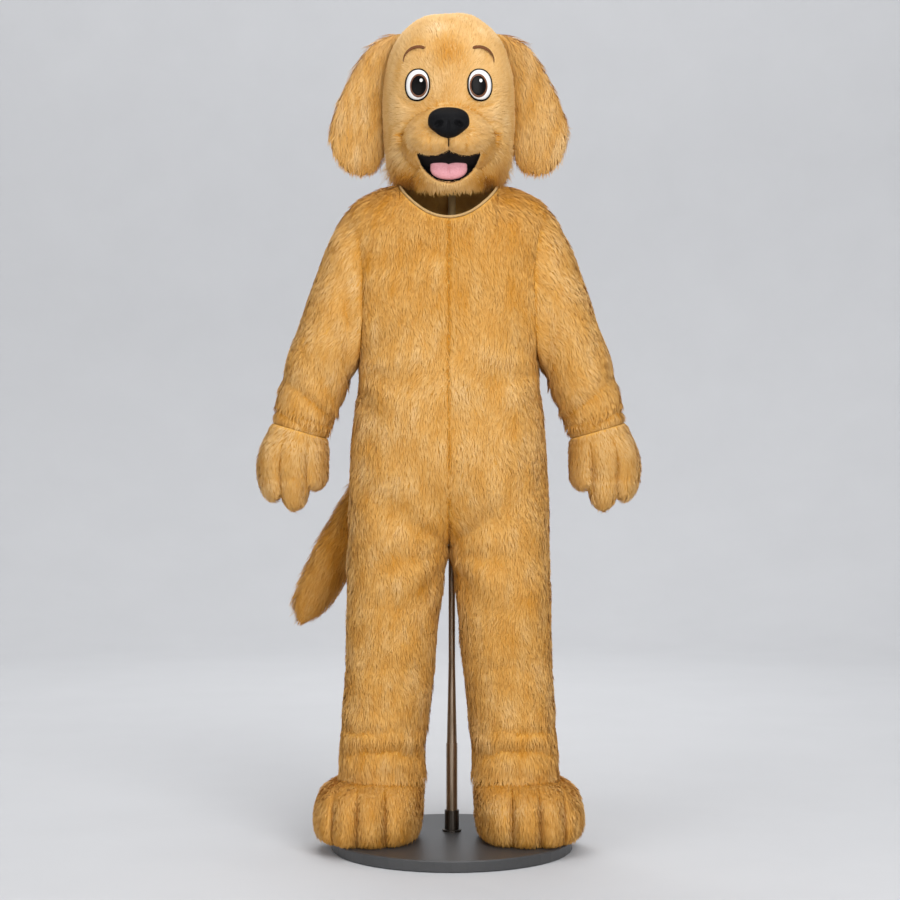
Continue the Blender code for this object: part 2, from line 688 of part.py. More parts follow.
# ---- head -----------------------------------------------------------------------------------

def mouth_line(x):
    """The mouth's upper edge under the two pads: z at each x."""
    share = np.clip(np.abs(x) / MOUTH_CORNER[0], 0, 1)
    base = MOUTH_NOTCH + (MOUTH_CORNER[1] - MOUTH_NOTCH) * share
    return base - PAD_DROP * np.sin(np.pi * share) ** 0.8


def mouth_floor(x):
    """The mouth's lower edge: z at each x."""
    share = np.clip(np.abs(x) / MOUTH_CORNER[0], 0, 1)
    return MOUTH_CORNER[1] - (MOUTH_CORNER[1] - MOUTH_BOTTOM) * (1 - share ** 2.2) ** 0.75


def face_relief(x, z):
    """How far the face stands out of the plain shell: its bumps, less the mouth's hollow."""
    bumps = []
    for row in FACE_BUMPS:
        bump = dict(zip(BUMP_NAMES, row))
        away = ((x - bump["x"]) / bump["half_x"]) ** 2 + ((z - bump["z"]) / bump["half_z"]) ** 2
        bumps.append(bump["height"] * np.clip(1 - away, 0, 1) ** bump["power"])
    muzzle, pad_a, pad_b, jaw, cheek_a, cheek_b = bumps
    relief = np.maximum(muzzle + np.maximum(pad_a, pad_b), jaw) + cheek_a + cheek_b
    top, low = mouth_line(x), mouth_floor(x)
    inside = np.minimum(top - z, z - low)
    hollow = ease((inside + 0.004) / 0.012)
    return relief - MOUTH_DEPTH * hollow * ease((MOUTH_CORNER[0] + 0.006 - np.abs(x)) / 0.02)


def least_relief(x, z):
    """The least relief within reach of each point, which keeps the wall whole round the mouth."""
    turn = np.arange(8) * np.pi / 4
    around = [(share * math.cos(t), share * math.sin(t)) for share in (0.5, 1.0) for t in turn]
    return np.min([face_relief(x + INNER_REACH * a, z + INNER_REACH * b) for a, b in around + [(0, 0)]], axis=0)


def head_half(inset):
    """The plain shell's half sizes."""
    return np.array(HEAD_HALF) - inset


def face_y(x, z):
    """The face's surface: y at each x and z of the front."""
    centre, half = HEAD_CENTRE, head_half(0.0)
    left = 1 - np.abs((x - centre[0]) / half[0]) ** HEAD_POWER - np.abs((z - centre[2]) / half[2]) ** HEAD_POWER
    return centre[1] - half[1] * np.clip(left, 0, 1) ** (1 / HEAD_POWER) - face_relief(x, z)


def head_rings(inset, steps):
    """Rings of the head from just under the crown to the neck hole, front first."""
    turn = np.linspace(0, 2 * np.pi, 36, endpoint=False)
    turn = turn - 0.55 * np.sin(turn)                       # closer together at the face
    half = head_half(inset)
    rim = HEAD_RIM_MIDDLE - HEAD_RIM_TILT * np.cos(turn)
    share = np.clip((HEAD_CENTRE[2] - rim) / half[2], -1, 1)
    last = np.pi - np.arcsin(np.clip((1 - share ** HEAD_POWER) ** 0.5, 0, 1))
    rings = []
    for step in steps:
        polar = last * step
        flat = power_of(np.sin(polar), 2 / HEAD_POWER)
        x = half[0] * flat * power_of(np.sin(turn), 2 / HEAD_POWER)
        y = -half[1] * flat * power_of(np.cos(turn), 2 / HEAD_POWER)
        z = HEAD_CENTRE[2] + half[2] * power_of(np.cos(polar), 2 / HEAD_POWER)
        front = ease(-y / (0.25 * half[1]))
        relief = least_relief(x, z) if inset else face_relief(x, z)
        y = y + HEAD_CENTRE[1] - relief * front
        rings.append(np.stack((x, y, z), axis=-1))
    return rings


def crown(inset):
    """The point on top of the head."""
    return np.array((HEAD_CENTRE[0], HEAD_CENTRE[1], HEAD_CENTRE[2] + head_half(inset)[2]))


def make_head():
    """A hollow shell with a neck hole, open below."""
    rings = head_rings(0.0, HEAD_STEPS)[::-1]
    inner = head_rings(HEAD_WALL, HEAD_INNER_STEPS)
    return loft("head_shell", inner + rings, "head_fur", start=crown(HEAD_WALL), end=crown(0.0))


def on_mesh(things):
    """A function that gives the foremost y of some finished pieces at each x and z."""
    trees = [BVHTree.FromPolygons([vertex.co for vertex in thing.data.vertices],
                                  [tuple(face.vertices) for face in thing.data.polygons])
             for thing in things]

    def front(x, z):
        found = []
        for px, pz in zip(np.ravel(x), np.ravel(z)):
            hits = [tree.ray_cast((px + SUIT_X, -1.0, pz), (0.0, 1.0, 0.0))[0] for tree in trees]
            found.append(min(hit.y for hit in hits if hit is not None))
        return np.array(found).reshape(np.shape(x))
    return front


def foremost(under, reach):
    """The same surface, raised to its foremost place within reach of each point."""
    ring = [(math.cos(k * math.pi / 4), math.sin(k * math.pi / 4)) for k in range(8)]
    steps = [(0.0, 0.0)] + [(share * a, share * b) for share in (0.5, 1.0) for a, b in ring]

    def front(x, z):
        return np.min([under(x + reach * a, z + reach * b) for a, b in steps], axis=0)
    return front


def dome_patch(name, patch, finish, gap, under, reach, rings=3, count=16):
    """A padded piece that lies on the face: its back follows the face, its front is domed."""
    spec = dict(zip(PATCH_NAMES, patch))
    under = foremost(under, reach)
    turn = np.linspace(0, 2 * np.pi, count, endpoint=False)
    shares = np.linspace(1.0, 0.0, rings, endpoint=False)

    def layer(lift):
        made = []
        for share in shares:
            x = spec["x"] + spec["half_x"] * share * power_of(np.cos(turn), 2 / spec["power"])
            z = spec["z"] + spec["half_z"] * share * power_of(np.sin(turn), 2 / spec["power"])
            y = under(x, z) - gap - lift * spec["thick"] * (0.12 + 0.88 * np.sqrt(1 - share ** 2.4))
            made.append(np.stack((x, y, z), axis=-1))
        return made

    def pole(lift):
        x, z = np.array([spec["x"]]), np.array([spec["z"]])
        return np.array((x[0], under(x, z)[0] - gap - lift * spec["thick"], z[0]))

    back, front = layer(0.0), layer(1.0)
    return loft(name, back[::-1] + front, finish, start=pole(0.0), end=pole(1.0))


def make_brow(name, side, under):
    """A tapered arc of felt on the forehead."""
    centre_x, centre_z, half_x, half_z = BROW_ARC
    turn = np.radians(np.linspace(BROW_TURN[0], BROW_TURN[1], 9))
    width = BROW_WIDTH * (0.25 + 0.75 * ease(np.linspace(0, 1, 9) * 1.6)) / 2
    grids = []
    for lift in (BROW_THICK, 0.0):
        columns = []
        for offset in (-1.0, 0.0, 1.0):
            x = side * (centre_x + (half_x + offset * width) * np.cos(turn))
            z = centre_z + (half_z + offset * width) * np.sin(turn)
            columns.append(np.stack((x, under(x, z) - 2 * GAP - lift, z), axis=-1))
        grids.append(np.array(columns))
    wall(name, grids[0], grids[1], "brow_brown")


def make_mouth(under):
    """The black lining in the bottom of the mouth's hollow: a thin wall that follows it."""
    x = np.linspace(-1, 1, 11) * MOUTH_CORNER[0] * LINING_SHARE
    top = mouth_line(x) - LINING_EDGE
    low = mouth_floor(x) + LINING_EDGE
    share = np.linspace(0, 1, 7)[:, None]
    z = low + (top - low) * share
    x = np.broadcast_to(x, z.shape)
    back = np.stack((x, foremost(under, LINING_REACH)(x, z) - LINING_GAP, z), axis=-1)
    front = back - (0.0, LINING_THICK, 0.0)
    return wall("mouth_lining", front, back, "mouth_black")


def head_side(z):
    """The plain shell's half width at a height."""
    centre, half = HEAD_CENTRE, head_half(0.0)
    return half[0] * (1 - np.abs((z - centre[2]) / half[2]) ** HEAD_POWER) ** (1 / HEAD_POWER)


def make_ears():
    """Two flat hanging ears, a soft lobe sewn to each side of the head."""
    ears = table(EAR_NAMES, EAR_ROWS)
    inner = head_side(ears["height"]) + ears["away"]
    middle, half = (ears["outer"] + inner) / 2, (ears["outer"] - inner) / 2
    turn = np.linspace(0, 2 * np.pi, 16, endpoint=False)
    for side, word in ((-1, "right"), (1, "left")):
        rings = []
        for i, height in enumerate(ears["height"]):
            x = middle[i] + half[i] * power_of(np.cos(turn), 0.85)
            y = EAR_Y - ears["depth"][i] * power_of(np.sin(turn), 0.85)
            rings.append(mirrored(np.stack((x, y, np.full_like(x, height)), axis=-1), side))
        top = np.array((middle[0], EAR_Y, ears["height"][0] + 0.004))
        tip = np.array((middle[-1], EAR_Y, ears["height"][-1] - 0.006))
        loft(f"ear_{word}", rings, "head_fur", start=mirrored(top, side), end=mirrored(tip, side))


def make_face(head):
    """Eyes, brows, nose, mouth and tongue, each laid on what carries it."""
    skin = on_mesh([head])
    for side, word in ((-1, "right"), (1, "left")):
        def sided(patch):
            return (side * patch[0], *patch[1:])
        dome_patch(f"eye_{word}", sided(EYE), "eye_white", GAP, skin, 0.002)
        make_brow(f"brow_{word}", side, skin)
    dome_patch("nose", NOSE, "nose_black", NOSE_GAP, skin, 0.0065, 6, 26)
    lining = make_mouth(skin)
    dome_patch("tongue", TONGUE, "tongue_pink", 2 * GAP, on_mesh([lining, head]), 0.003)


# ---- tail, binding and zip ------------------------------------------------------------------

def make_tail():
    """A stuffed tail that leaves the middle of the back and hangs to one side."""
    rows = [dict(zip(TAIL_NAMES, row)) for row in TAIL_ROWS]
    path = np.array([(row["x"], row["y"], row["z"]) for row in rows] + [TAIL_TIP])
    heading = np.gradient(path, axis=0)
    heading[0] = (0.0, 1.0, 0.0)
    turn = np.linspace(0, 2 * np.pi, 16, endpoint=False)[:, None]
    rings = []
    for row, middle, ahead in zip(rows, path, heading):
        ahead = ahead / np.linalg.norm(ahead)
        aside = np.cross(ahead, (0.0, 0.35, 1.0))
        aside = aside / np.linalg.norm(aside)
        above = np.cross(aside, ahead)
        rings.append(middle + row["radius"] * (aside * np.cos(turn) + 0.85 * above * np.sin(turn)))
    seat = rings[0]
    outer = smooth(SUIT["height"], SUIT["outer"], seat[:, 2])
    depth = smooth(SUIT["height"], SUIT["back"], seat[:, 2])
    seat[:, 1] = depth * (1 - (np.abs(seat[:, 0]) / outer) ** TORSO_POWER) ** (1 / TORSO_POWER) + 3 * GAP
    root = np.array((0.0, seat[:, 1].max(), rows[0]["z"]))
    loft("tail", rings, "suit_fur", start=root, end=path[-1])


def make_binding():
    """A thin rolled binding round the neckline, in one ring."""
    across = panel_columns()[:PANEL_COLUMNS // 2 + 1]
    edges = []
    for back in (False, True):
        turn = neck_turn(across, back)
        line = np.full_like(across, YOKE_LINE)
        outer = suit_point(across, line, turn, back, 0.0)
        inner = suit_point(across, line, turn, back, WALL)
        edges.append((outer, inner))
    rings = []
    for layer in (0, 1):
        front, back = edges[0][layer][:-1], edges[1][layer]
        half = np.concatenate((front, back[::-1]))
        rings.append(np.concatenate((half, mirrored(half[1:-1][::-1], -1))))
    outer, inner = rings
    ring = (outer + inner) / 2
    along = np.roll(ring, -1, axis=0) - np.roll(ring, 1, axis=0)
    along = along / np.linalg.norm(along, axis=1, keepdims=True)
    towards = np.cross(along, outer - inner)
    towards = towards / np.linalg.norm(towards, axis=1, keepdims=True)
    towards = towards * np.sign((towards * (np.array(NECK_MIDDLE) - ring)).sum(axis=1))[:, None]
    flat = np.cross(along, towards)
    centre = ring + towards * (BINDING_RADIUS + 3 * GAP)
    turn = np.linspace(0, 2 * np.pi, 6, endpoint=False)
    rings = [centre + BINDING_RADIUS * (towards * math.cos(t) + 1.3 * flat * math.sin(t)) for t in turn]
    loft("neck_binding", rings, "tan_tape", joined=True)


def back_seam():
    """Points down the centre-back seam, on the outside of the cloth and between two heights."""
    seam = panel_grid(True, 0.0)[:, 0] * (0.0, 1.0, 1.0)
    inside = (seam[:, 2] > ZIP_BOTTOM) & (seam[:, 2] < ZIP_TOP)
    heights = np.concatenate(((ZIP_BOTTOM,), seam[inside, 2], (ZIP_TOP,)))
    depth = np.interp(heights, seam[:, 2], seam[:, 1])
    return np.stack((np.zeros_like(heights), depth, heights), axis=-1)


def make_zip():
    """The zip's chain over the centre-back seam, its slider, and the pull tab on its pin."""
    seam = back_seam()
    along = np.gradient(seam, axis=0)
    along = along / np.linalg.norm(along, axis=1, keepdims=True)
    out = np.cross((1.0, 0.0, 0.0), along) * -1
    out = out * np.sign(out[:, 1])[:, None]
    side = np.array((ZIP_HALF_WIDTH, 0.0, 0.0))
    low = seam + out * 2.2 * GAP
    high = low + out * ZIP_THICK
    wall("zip_chain", np.stack((high - side, high + side), axis=1),
         np.stack((low - side, low + side), axis=1), "tan_tape")
    return high, out, along


def box_at(name, middle, axes, halves, finish, origin=(0.0, 0.0, 0.0)):
    """A block with its own axes, made from a cube with its edges bevelled. Its origin is where
    it turns, if it turns."""
    bpy.ops.mesh.primitive_cube_add(size=1.0)
    thing = bpy.context.object
    thing.name = name
    thing.data.name = name
    hand = np.sign(np.linalg.det(np.array(axes)))
    for corner in thing.data.vertices:
        local = np.array(corner.co) * 2 * np.array(halves) * (hand, 1.0, 1.0)
        corner.co = np.array(middle) - origin + sum(axes[i] * local[i] for i in range(3))
    thing.location = np.array(origin) + (SUIT_X, 0.0, 0.0)
    bevel = thing.modifiers.new("edges", "BEVEL")
    bevel.width = min(halves) * 0.35
    bevel.segments = 1
    thing.data.materials.append(material(finish))
    for collection in list(thing.users_collection):
        collection.objects.unlink(thing)
    COLLECTION.objects.link(thing)
    return thing


def make_slider(high, out, along):
    """The slider at the top of the zip and the tab that hangs from it."""
    spot = len(high) - 2
    axes = (np.array((1.0, 0.0, 0.0)), out[spot], along[spot])
    seat = high[spot] + out[spot] * (GAP + 0.0022)
    box_at("zip_slider", seat, axes, (0.0060, 0.0020, 0.0070), "zip_metal")
    hang = -along[spot] + 0.03 * out[spot]
    hang = hang / np.linalg.norm(hang)
    pivot = seat + out[spot] * 0.0033 - along[spot] * 0.0035
    face = np.cross((1.0, 0.0, 0.0), hang) * -1
    face = face * np.sign(face[1])
    box_at("zip_tab", pivot + hang * 0.0154, (axes[0], face, hang), (0.0032, 0.0009, 0.0160),
           "zip_metal", pivot)
    return pivot


# ---- stand ----------------------------------------------------------------------------------

def make_stand():
    """Round base, socket, telescoping pole, yoke under the shoulders, neck post and cap."""
    edge = 0.0025
    turned("stand_base", ((0.0, BASE_HEIGHT), (BASE_RADIUS - edge, BASE_HEIGHT),
                          (BASE_RADIUS, BASE_HEIGHT - edge), (BASE_RADIUS, edge),
                          (BASE_RADIUS - edge, 0.0), (0.0, 0.0)), "base_grey", steps=48)
    at = (0.0, POLE_Y)
    lift = BASE_HEIGHT + GAP
    turned("stand_socket", ((0.0131, SOCKET_TOP), (0.0165, SOCKET_TOP), (0.0165, lift + 0.005),
                            (0.0215, lift + 0.004), (0.0215, lift), (0.0131, lift)),
           "pole_bronze", at, 20)
    turned("pole_lower", ((0.0, LOWER_POLE_TOP), (0.0128, LOWER_POLE_TOP), (0.0128, lift), (0.0, lift)),
           "pole_bronze", at, 24)
    turned("pole_ferrule", ((0.0, FERRULE_TOP), (UPPER_POLE_RADIUS, FERRULE_TOP), (0.0096, 0.315),
                            (0.0116, LOWER_POLE_TOP + GAP), (0.0, LOWER_POLE_TOP + GAP)),
           "pole_bronze", at, 24)
    turned("pole_upper", ((0.0, HUB_BOTTOM - GAP), (UPPER_POLE_RADIUS, HUB_BOTTOM - GAP),
                          (UPPER_POLE_RADIUS, FERRULE_TOP + GAP), (0.0, FERRULE_TOP + GAP)),
           "pole_bronze", at, 20)
    turned("yoke_hub", ((0.0, HUB_TOP), (0.013, HUB_TOP), (0.015, HUB_TOP - 0.003),
                        (0.015, HUB_BOTTOM + 0.003), (0.013, HUB_BOTTOM), (0.0, HUB_BOTTOM)),
           "pole_bronze", at, 24)
    radius = 0.0085
    seam = panel_grid(True, WALL)[-1]
    for side, word in ((-1, "right"), (1, "left")):
        path = [(side * (0.015 + GAP), POLE_Y, 1.358)]
        for share in np.linspace(0, 1, 12):
            x = 0.019 + (0.176 - 0.019) * share
            shoulder = float(np.interp(x, seam[:, 0], seam[:, 2]))
            rest = shoulder - radius - YOKE_GAP
            low = 1.358
            rise = float(ease(np.array([share / 0.92]))[0])
            path.append((side * x + SUIT_X * rise, POLE_Y * (1 - rise), low + (rest - low) * rise))
        tube(f"yoke_arm_{word}", path, radius, "pole_bronze")
    cap_y = POLE_Y
    cap_radius = CAP_RADIUS
    centre_z = HEAD_CENTRE[2]
    half = head_half(HEAD_WALL)

    def under_crown(x, y):
        left = 1 - np.abs(x / half[0]) ** HEAD_POWER - np.abs((y - HEAD_CENTRE[1]) / half[1]) ** HEAD_POWER
        return centre_z + half[2] * left ** (1 / HEAD_POWER)

    turn = np.linspace(0, 2 * np.pi, 20, endpoint=False)
    tops = []
    for share in (1.0, 0.66, 0.33):
        x = cap_radius * share * np.cos(turn) - SUIT_X
        y = cap_y + cap_radius * share * np.sin(turn)
        tops.append(np.stack((x, y, under_crown(x, y) - CAP_GAP), axis=-1))
    top = np.array((-SUIT_X, cap_y, float(under_crown(-SUIT_X, cap_y)) - CAP_GAP))
    low = tops[0][:, 2].min() - 0.006
    flat = tops[0] * (1, 1, 0) + (0, 0, low)
    under = np.array((-SUIT_X, cap_y, low))
    loft("head_cap", [flat] + tops, "tan_tape", start=under, end=top)
    turned("neck_post", ((0.0, low - GAP), (NECK_POST_RADIUS, low - GAP),
                         (NECK_POST_RADIUS, HUB_TOP + GAP), (0.0, HUB_TOP + GAP)), "tan_tape", at, 20)


# ---- build ----------------------------------------------------------------------------------

for old in list(bpy.data.objects):
    bpy.data.objects.remove(old)
COLLECTION = bpy.data.collections.new("dog_mascot_costume")
bpy.context.scene.collection.children.link(COLLECTION)

make_body()
make_sleeves()
make_mitts()
make_boots()
make_face(make_head())
make_ears()
make_tail()
make_binding()
make_slider(*make_zip())
make_stand()
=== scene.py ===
import math

import bmesh
import bpy
import numpy as np
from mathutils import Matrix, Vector


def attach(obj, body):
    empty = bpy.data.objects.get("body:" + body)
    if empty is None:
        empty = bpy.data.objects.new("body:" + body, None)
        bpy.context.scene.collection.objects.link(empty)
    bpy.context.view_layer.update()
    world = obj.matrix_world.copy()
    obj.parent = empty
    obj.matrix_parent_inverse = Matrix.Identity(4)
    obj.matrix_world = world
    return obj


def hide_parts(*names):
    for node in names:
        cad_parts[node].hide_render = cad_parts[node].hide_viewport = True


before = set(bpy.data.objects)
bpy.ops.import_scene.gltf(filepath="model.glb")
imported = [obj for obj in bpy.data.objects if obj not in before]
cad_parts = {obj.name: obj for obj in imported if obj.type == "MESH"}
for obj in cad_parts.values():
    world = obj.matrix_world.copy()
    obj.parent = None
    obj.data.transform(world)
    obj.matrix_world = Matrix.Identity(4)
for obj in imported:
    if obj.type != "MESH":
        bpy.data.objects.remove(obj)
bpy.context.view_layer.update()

print("dog mascot costume: frame loaded")

sides = ((-1, "right"), (1, "left"))       # the costume's own right is on -X


# Helpers for curves and arrays. Lengths are in metres.

def tableOf(names, rows):
    return {name: np.array(column, dtype=float) for name, column in zip(names, zip(*rows))}


def rowsOf(table):
    return [dict(zip(table, row)) for row in zip(*table.values())]


def curveThrough(keys, values, at):
    # cubic Hermite pieces through the rows, with each row's mean slope
    slopes = np.gradient(values, keys)
    at = np.clip(at, keys[0], keys[-1])
    i = np.clip(np.searchsorted(keys, at) - 1, 0, len(keys) - 2)
    span = keys[i + 1] - keys[i]
    t = (at - keys[i]) / span
    return ((2 * t ** 3 - 3 * t ** 2 + 1) * values[i] + (t ** 3 - 2 * t ** 2 + t) * span * slopes[i]
            + (3 * t ** 2 - 2 * t ** 3) * values[i + 1] + (t ** 3 - t ** 2) * span * slopes[i + 1])


def formAt(table, at):
    # a table's columns read between its rows, which count as 0, 1, 2 and so on
    keys = np.arange(float(len(next(iter(table.values())))))
    return {name: curveThrough(keys, column, at) for name, column in table.items()}


def easeIn(t):
    # 3t^2 - 2t^3 between 0 and 1: flat at both ends
    t = np.clip(t, 0.0, 1.0)
    return t * t * (3 - 2 * t)


def bell(*shares):
    # 1 where every share is 0, and near 0 where one of them is past 2
    return np.exp(-sum(share ** 2 for share in shares))


def signedPower(value, exponent):
    return np.sign(value) * np.abs(value) ** exponent


def turnsOf(count):
    return np.linspace(0, 2 * np.pi, count, endpoint=False)


def fromCentre(x, z, form, grow=0.0):
    # the shares of the way from a form's centre to its edge, across and up
    return (x - form["x"]) / (form["halfX"] + grow), (z - form["z"]) / (form["halfZ"] + grow)


def superSum(shares, power):
    return sum(np.abs(share) ** power for share in shares)


def lengthOf(vectors):
    return np.linalg.norm(vectors, axis=-1, keepdims=True)


def unit(vectors):
    return vectors / np.maximum(lengthOf(vectors), 1e-9)


def ripple(points, wavelength, seed):
    # a smooth field between about -1 and 1: nine sine waves that cross in all directions
    rng = np.random.default_rng(seed)
    heading = unit(rng.normal(size=(9, 3)))
    rate = 2 * np.pi / wavelength * rng.uniform(0.7, 1.5, 9)
    phase = rng.uniform(0, 2 * np.pi, 9)
    waves = np.sin(points @ (heading * rate[:, None]).T + phase)
    return waves.sum(axis=-1) / 3.6


# Materials. Colours are linear.

def newMaterial(name, roughness=0.5, specular=0.5):
    made = bpy.data.materials.new(name)
    made.use_nodes = True
    tree = made.node_tree
    shader = tree.nodes["Principled BSDF"]
    shader.inputs["Roughness"].default_value = roughness
    shader.inputs["Specular IOR Level"].default_value = specular
    return made, tree, shader


def addNode(tree, kind, source=None, into="Vector", **settings):
    node = tree.nodes.new(kind)
    for key, value in settings.items():
        if key in node.inputs:
            node.inputs[key].default_value = value
        else:
            setattr(node, key, value)
    if source:
        tree.links.new(source, node.inputs[into])
    return node


def objectPlace(tree):
    return addNode(tree, "ShaderNodeTexCoord").outputs["Object"]


def noiseFrom(tree, source, scale, detail, roughness=0.5):
    settings = {"Scale": scale, "Detail": detail, "Roughness": roughness}
    return addNode(tree, "ShaderNodeTexNoise", source, **settings).outputs[0]


def stretchFrom(tree, source, scale):
    return addNode(tree, "ShaderNodeMapping", source, Scale=scale).outputs[0]


def mathFrom(tree, operation, first, second):
    node = addNode(tree, "ShaderNodeMath", operation=operation)
    tree.links.new(first, node.inputs[0])
    tree.links.new(second, node.inputs[1])
    return node.outputs[0]


def rampFrom(tree, source, stops):
    node = addNode(tree, "ShaderNodeValToRGB", source, "Fac")
    ramp = node.color_ramp
    while len(ramp.elements) < len(stops):
        ramp.elements.new(0.5)
    for element, (place, colour) in zip(ramp.elements, stops):
        element.position = place
        element.color = (*colour, 1.0)
    return node.outputs[0]


def colourFrom(tree, shader, source, stops):
    tree.links.new(rampFrom(tree, source, stops), shader.inputs["Base Color"])


def glossFrom(tree, shader, source, low, high):
    node = addNode(tree, "ShaderNodeMapRange", source, "Value")
    node.inputs["To Min"].default_value = low
    node.inputs["To Max"].default_value = high
    tree.links.new(node.outputs[0], shader.inputs["Roughness"])


def bumpFrom(tree, shader, height, strength, distance):
    node = addNode(tree, "ShaderNodeBump", height, "Height", Strength=strength, Distance=distance)
    tree.links.new(node.outputs[0], shader.inputs["Normal"])


furColours = {
    # dye tones from deep tan to cream, across 0 to 1
    "tones": ((0.00, (0.290, 0.102, 0.009)), (0.25, (0.548, 0.234, 0.024)), (0.50, (0.652, 0.353, 0.096)),
              (0.75, (0.765, 0.500, 0.216)), (1.00, (0.880, 0.680, 0.410))),
    # painted shade that the dye tone is multiplied by, darkest at the strand's root and none at its tip
    "rootShade": ((0.00, (0.95, 0.92, 0.87)), (0.45, (0.97, 0.96, 0.94)), (1.00, (1.0, 1.0, 1.0))),
    "roughness": 0.75, "specular": 0.16, "sheen": 0.22, "sheenTint": (0.90, 0.62, 0.28, 1.0),
}


def furStrandMaterial(name):
    # u is the strand's dye tone and v runs from root to tip, with painted shade darkest at the root
    made, tree, shader = newMaterial(name, furColours["roughness"], furColours["specular"])
    place = addNode(tree, "ShaderNodeUVMap", uv_map="OFBake")
    parts = addNode(tree, "ShaderNodeSeparateXYZ", place.outputs[0])
    mix = addNode(tree, "ShaderNodeMix", data_type="RGBA", blend_type="MULTIPLY")
    mix.inputs[0].default_value = 1.0
    tree.links.new(rampFrom(tree, parts.outputs[0], furColours["tones"]), mix.inputs[6])
    tree.links.new(rampFrom(tree, parts.outputs[1], furColours["rootShade"]), mix.inputs[7])
    tree.links.new(mix.outputs[2], shader.inputs["Base Color"])
    shader.inputs["Sheen Weight"].default_value = furColours["sheen"]
    shader.inputs["Sheen Tint"].default_value = furColours["sheenTint"]
    return made


def underPileMaterial(name, dark, light):
    # the pile's base: long thin streaks down the cloth, mottled at the size of tufts
    made, tree, shader = newMaterial(name, roughness=0.9, specular=0.15)
    place = addNode(tree, "ShaderNodeUVMap", uv_map="pile").outputs[0]
    place = stretchFrom(tree, place, (520.0, 60.0, 1.0))
    streaks = noiseFrom(tree, place, scale=1.0, detail=4.0, roughness=0.6)
    tufts = noiseFrom(tree, objectPlace(tree), scale=38.0, detail=2.0)
    both = mathFrom(tree, "MULTIPLY", streaks, tufts)
    colourFrom(tree, shader, both, ((0.12, dark), (0.42, light)))
    bumpFrom(tree, shader, streaks, strength=0.7, distance=0.0015)
    return made


def wovenMaterial(name, dark, light, threads):
    # a fine weave: two crossed sets of threads on object coordinates, with slow mottling
    made, tree, shader = newMaterial(name, roughness=0.85)
    place = objectPlace(tree)
    sets = [addNode(tree, "ShaderNodeTexWave", place, bands_direction=direction, Scale=threads,
                    Distortion=0.6, Detail=1.0).outputs[1] for direction in ("X", "Z")]
    weave = mathFrom(tree, "MULTIPLY", *sets)
    total = addNode(tree, "ShaderNodeMath", weave, 0, operation="MULTIPLY_ADD")
    total.inputs[1].default_value = 0.35
    mottling = noiseFrom(tree, place, scale=24.0, detail=5.0, roughness=0.65)
    tree.links.new(mottling, total.inputs[2])
    colourFrom(tree, shader, total.outputs[0], ((0.35, dark), (0.85, light)))
    bumpFrom(tree, shader, weave, strength=0.5, distance=0.0004)
    return made


def moulded(name, dark, light, roughness, grain, bump=0.15, specular=0.5):
    # moulded or painted stuff: fine grain in colour, gloss and surface
    made, tree, shader = newMaterial(name, specular=specular)
    noise = noiseFrom(tree, objectPlace(tree), grain, detail=4.0, roughness=0.6)
    colourFrom(tree, shader, noise, ((0.3, dark), (0.7, light)))
    glossFrom(tree, shader, noise, max(roughness - 0.06, 0.02), roughness + 0.06)
    bumpFrom(tree, shader, noise, bump, distance=0.0006)
    return made


def metalMaterial(name, dark, light, roughness, grain):
    # drawn metal: streaks along Z, worn a little paler in places
    made, tree, shader = newMaterial(name)
    place = stretchFrom(tree, objectPlace(tree), (grain, grain, grain * 0.08))
    noise = noiseFrom(tree, place, scale=1.0, detail=5.0, roughness=0.6)
    colourFrom(tree, shader, noise, ((0.3, dark), (0.72, light)))
    glossFrom(tree, shader, noise, roughness - 0.08, roughness + 0.10)
    shader.inputs["Metallic"].default_value = 1.0
    bumpFrom(tree, shader, noise, strength=0.12, distance=0.0003)
    return made


furStrands = furStrandMaterial("furStrands")
suitPile = underPileMaterial("suitPile", (0.590, 0.282, 0.045), (0.770, 0.435, 0.110))
headPile = underPileMaterial("headPile", (0.570, 0.320, 0.100), (0.750, 0.480, 0.195))
lining = wovenMaterial("liningCloth", (0.540, 0.238, 0.032), (0.740, 0.395, 0.092), 560.0)
tape = wovenMaterial("tapeCloth", (0.470, 0.290, 0.110), (0.640, 0.430, 0.190), 700.0)
# a dark and a light colour, roughness, grains to the metre, bump and specular level
blackFelt = moulded("blackFelt", (0.005, 0.004, 0.004), (0.012, 0.010, 0.010), 0.9, 900.0, 0.5, 0.12)
noseBlack = moulded("noseRubber", (0.0040, 0.0040, 0.0045), (0.0090, 0.0090, 0.0100), 0.62, 620.0, 0.35, 0.06)
browBrown = moulded("browFelt", (0.105, 0.038, 0.013), (0.190, 0.075, 0.028), 0.9, 700.0, 0.6, 0.2)
eyeWhite = moulded("eyeWhite", (0.72, 0.71, 0.69), (0.78, 0.77, 0.75), 0.30, 60.0, 0.02)
eyeBrown = moulded("eyeBrown", (0.095, 0.030, 0.010), (0.200, 0.070, 0.022), 0.30, 260.0, 0.02)
eyeBlack = moulded("eyeBlack", (0.003, 0.003, 0.003), (0.006, 0.005, 0.005), 0.25, 60.0, 0.02, 0.05)
tongueFelt = moulded("tongueFelt", (0.560, 0.215, 0.240), (0.690, 0.340, 0.370), 0.75, 480.0, 0.5)
basePaint = moulded("basePaint", (0.036, 0.036, 0.037), (0.054, 0.054, 0.055), 0.40, 900.0, 0.25)
threadTan = moulded("threadTan", (0.500, 0.330, 0.150), (0.640, 0.450, 0.230), 0.8, 700.0, 0.3)
poleMetal = metalMaterial("poleMetal", (0.215, 0.160, 0.105), (0.420, 0.335, 0.250), 0.38, 160.0)
socketMetal = metalMaterial("socketMetal", (0.055, 0.046, 0.038), (0.115, 0.100, 0.085), 0.42, 160.0)
zipBrass = metalMaterial("zipBrass", (0.300, 0.210, 0.100), (0.560, 0.420, 0.220), 0.32, 900.0)


# Meshes from grids of points. A grid has rows that run the way the pile lies.

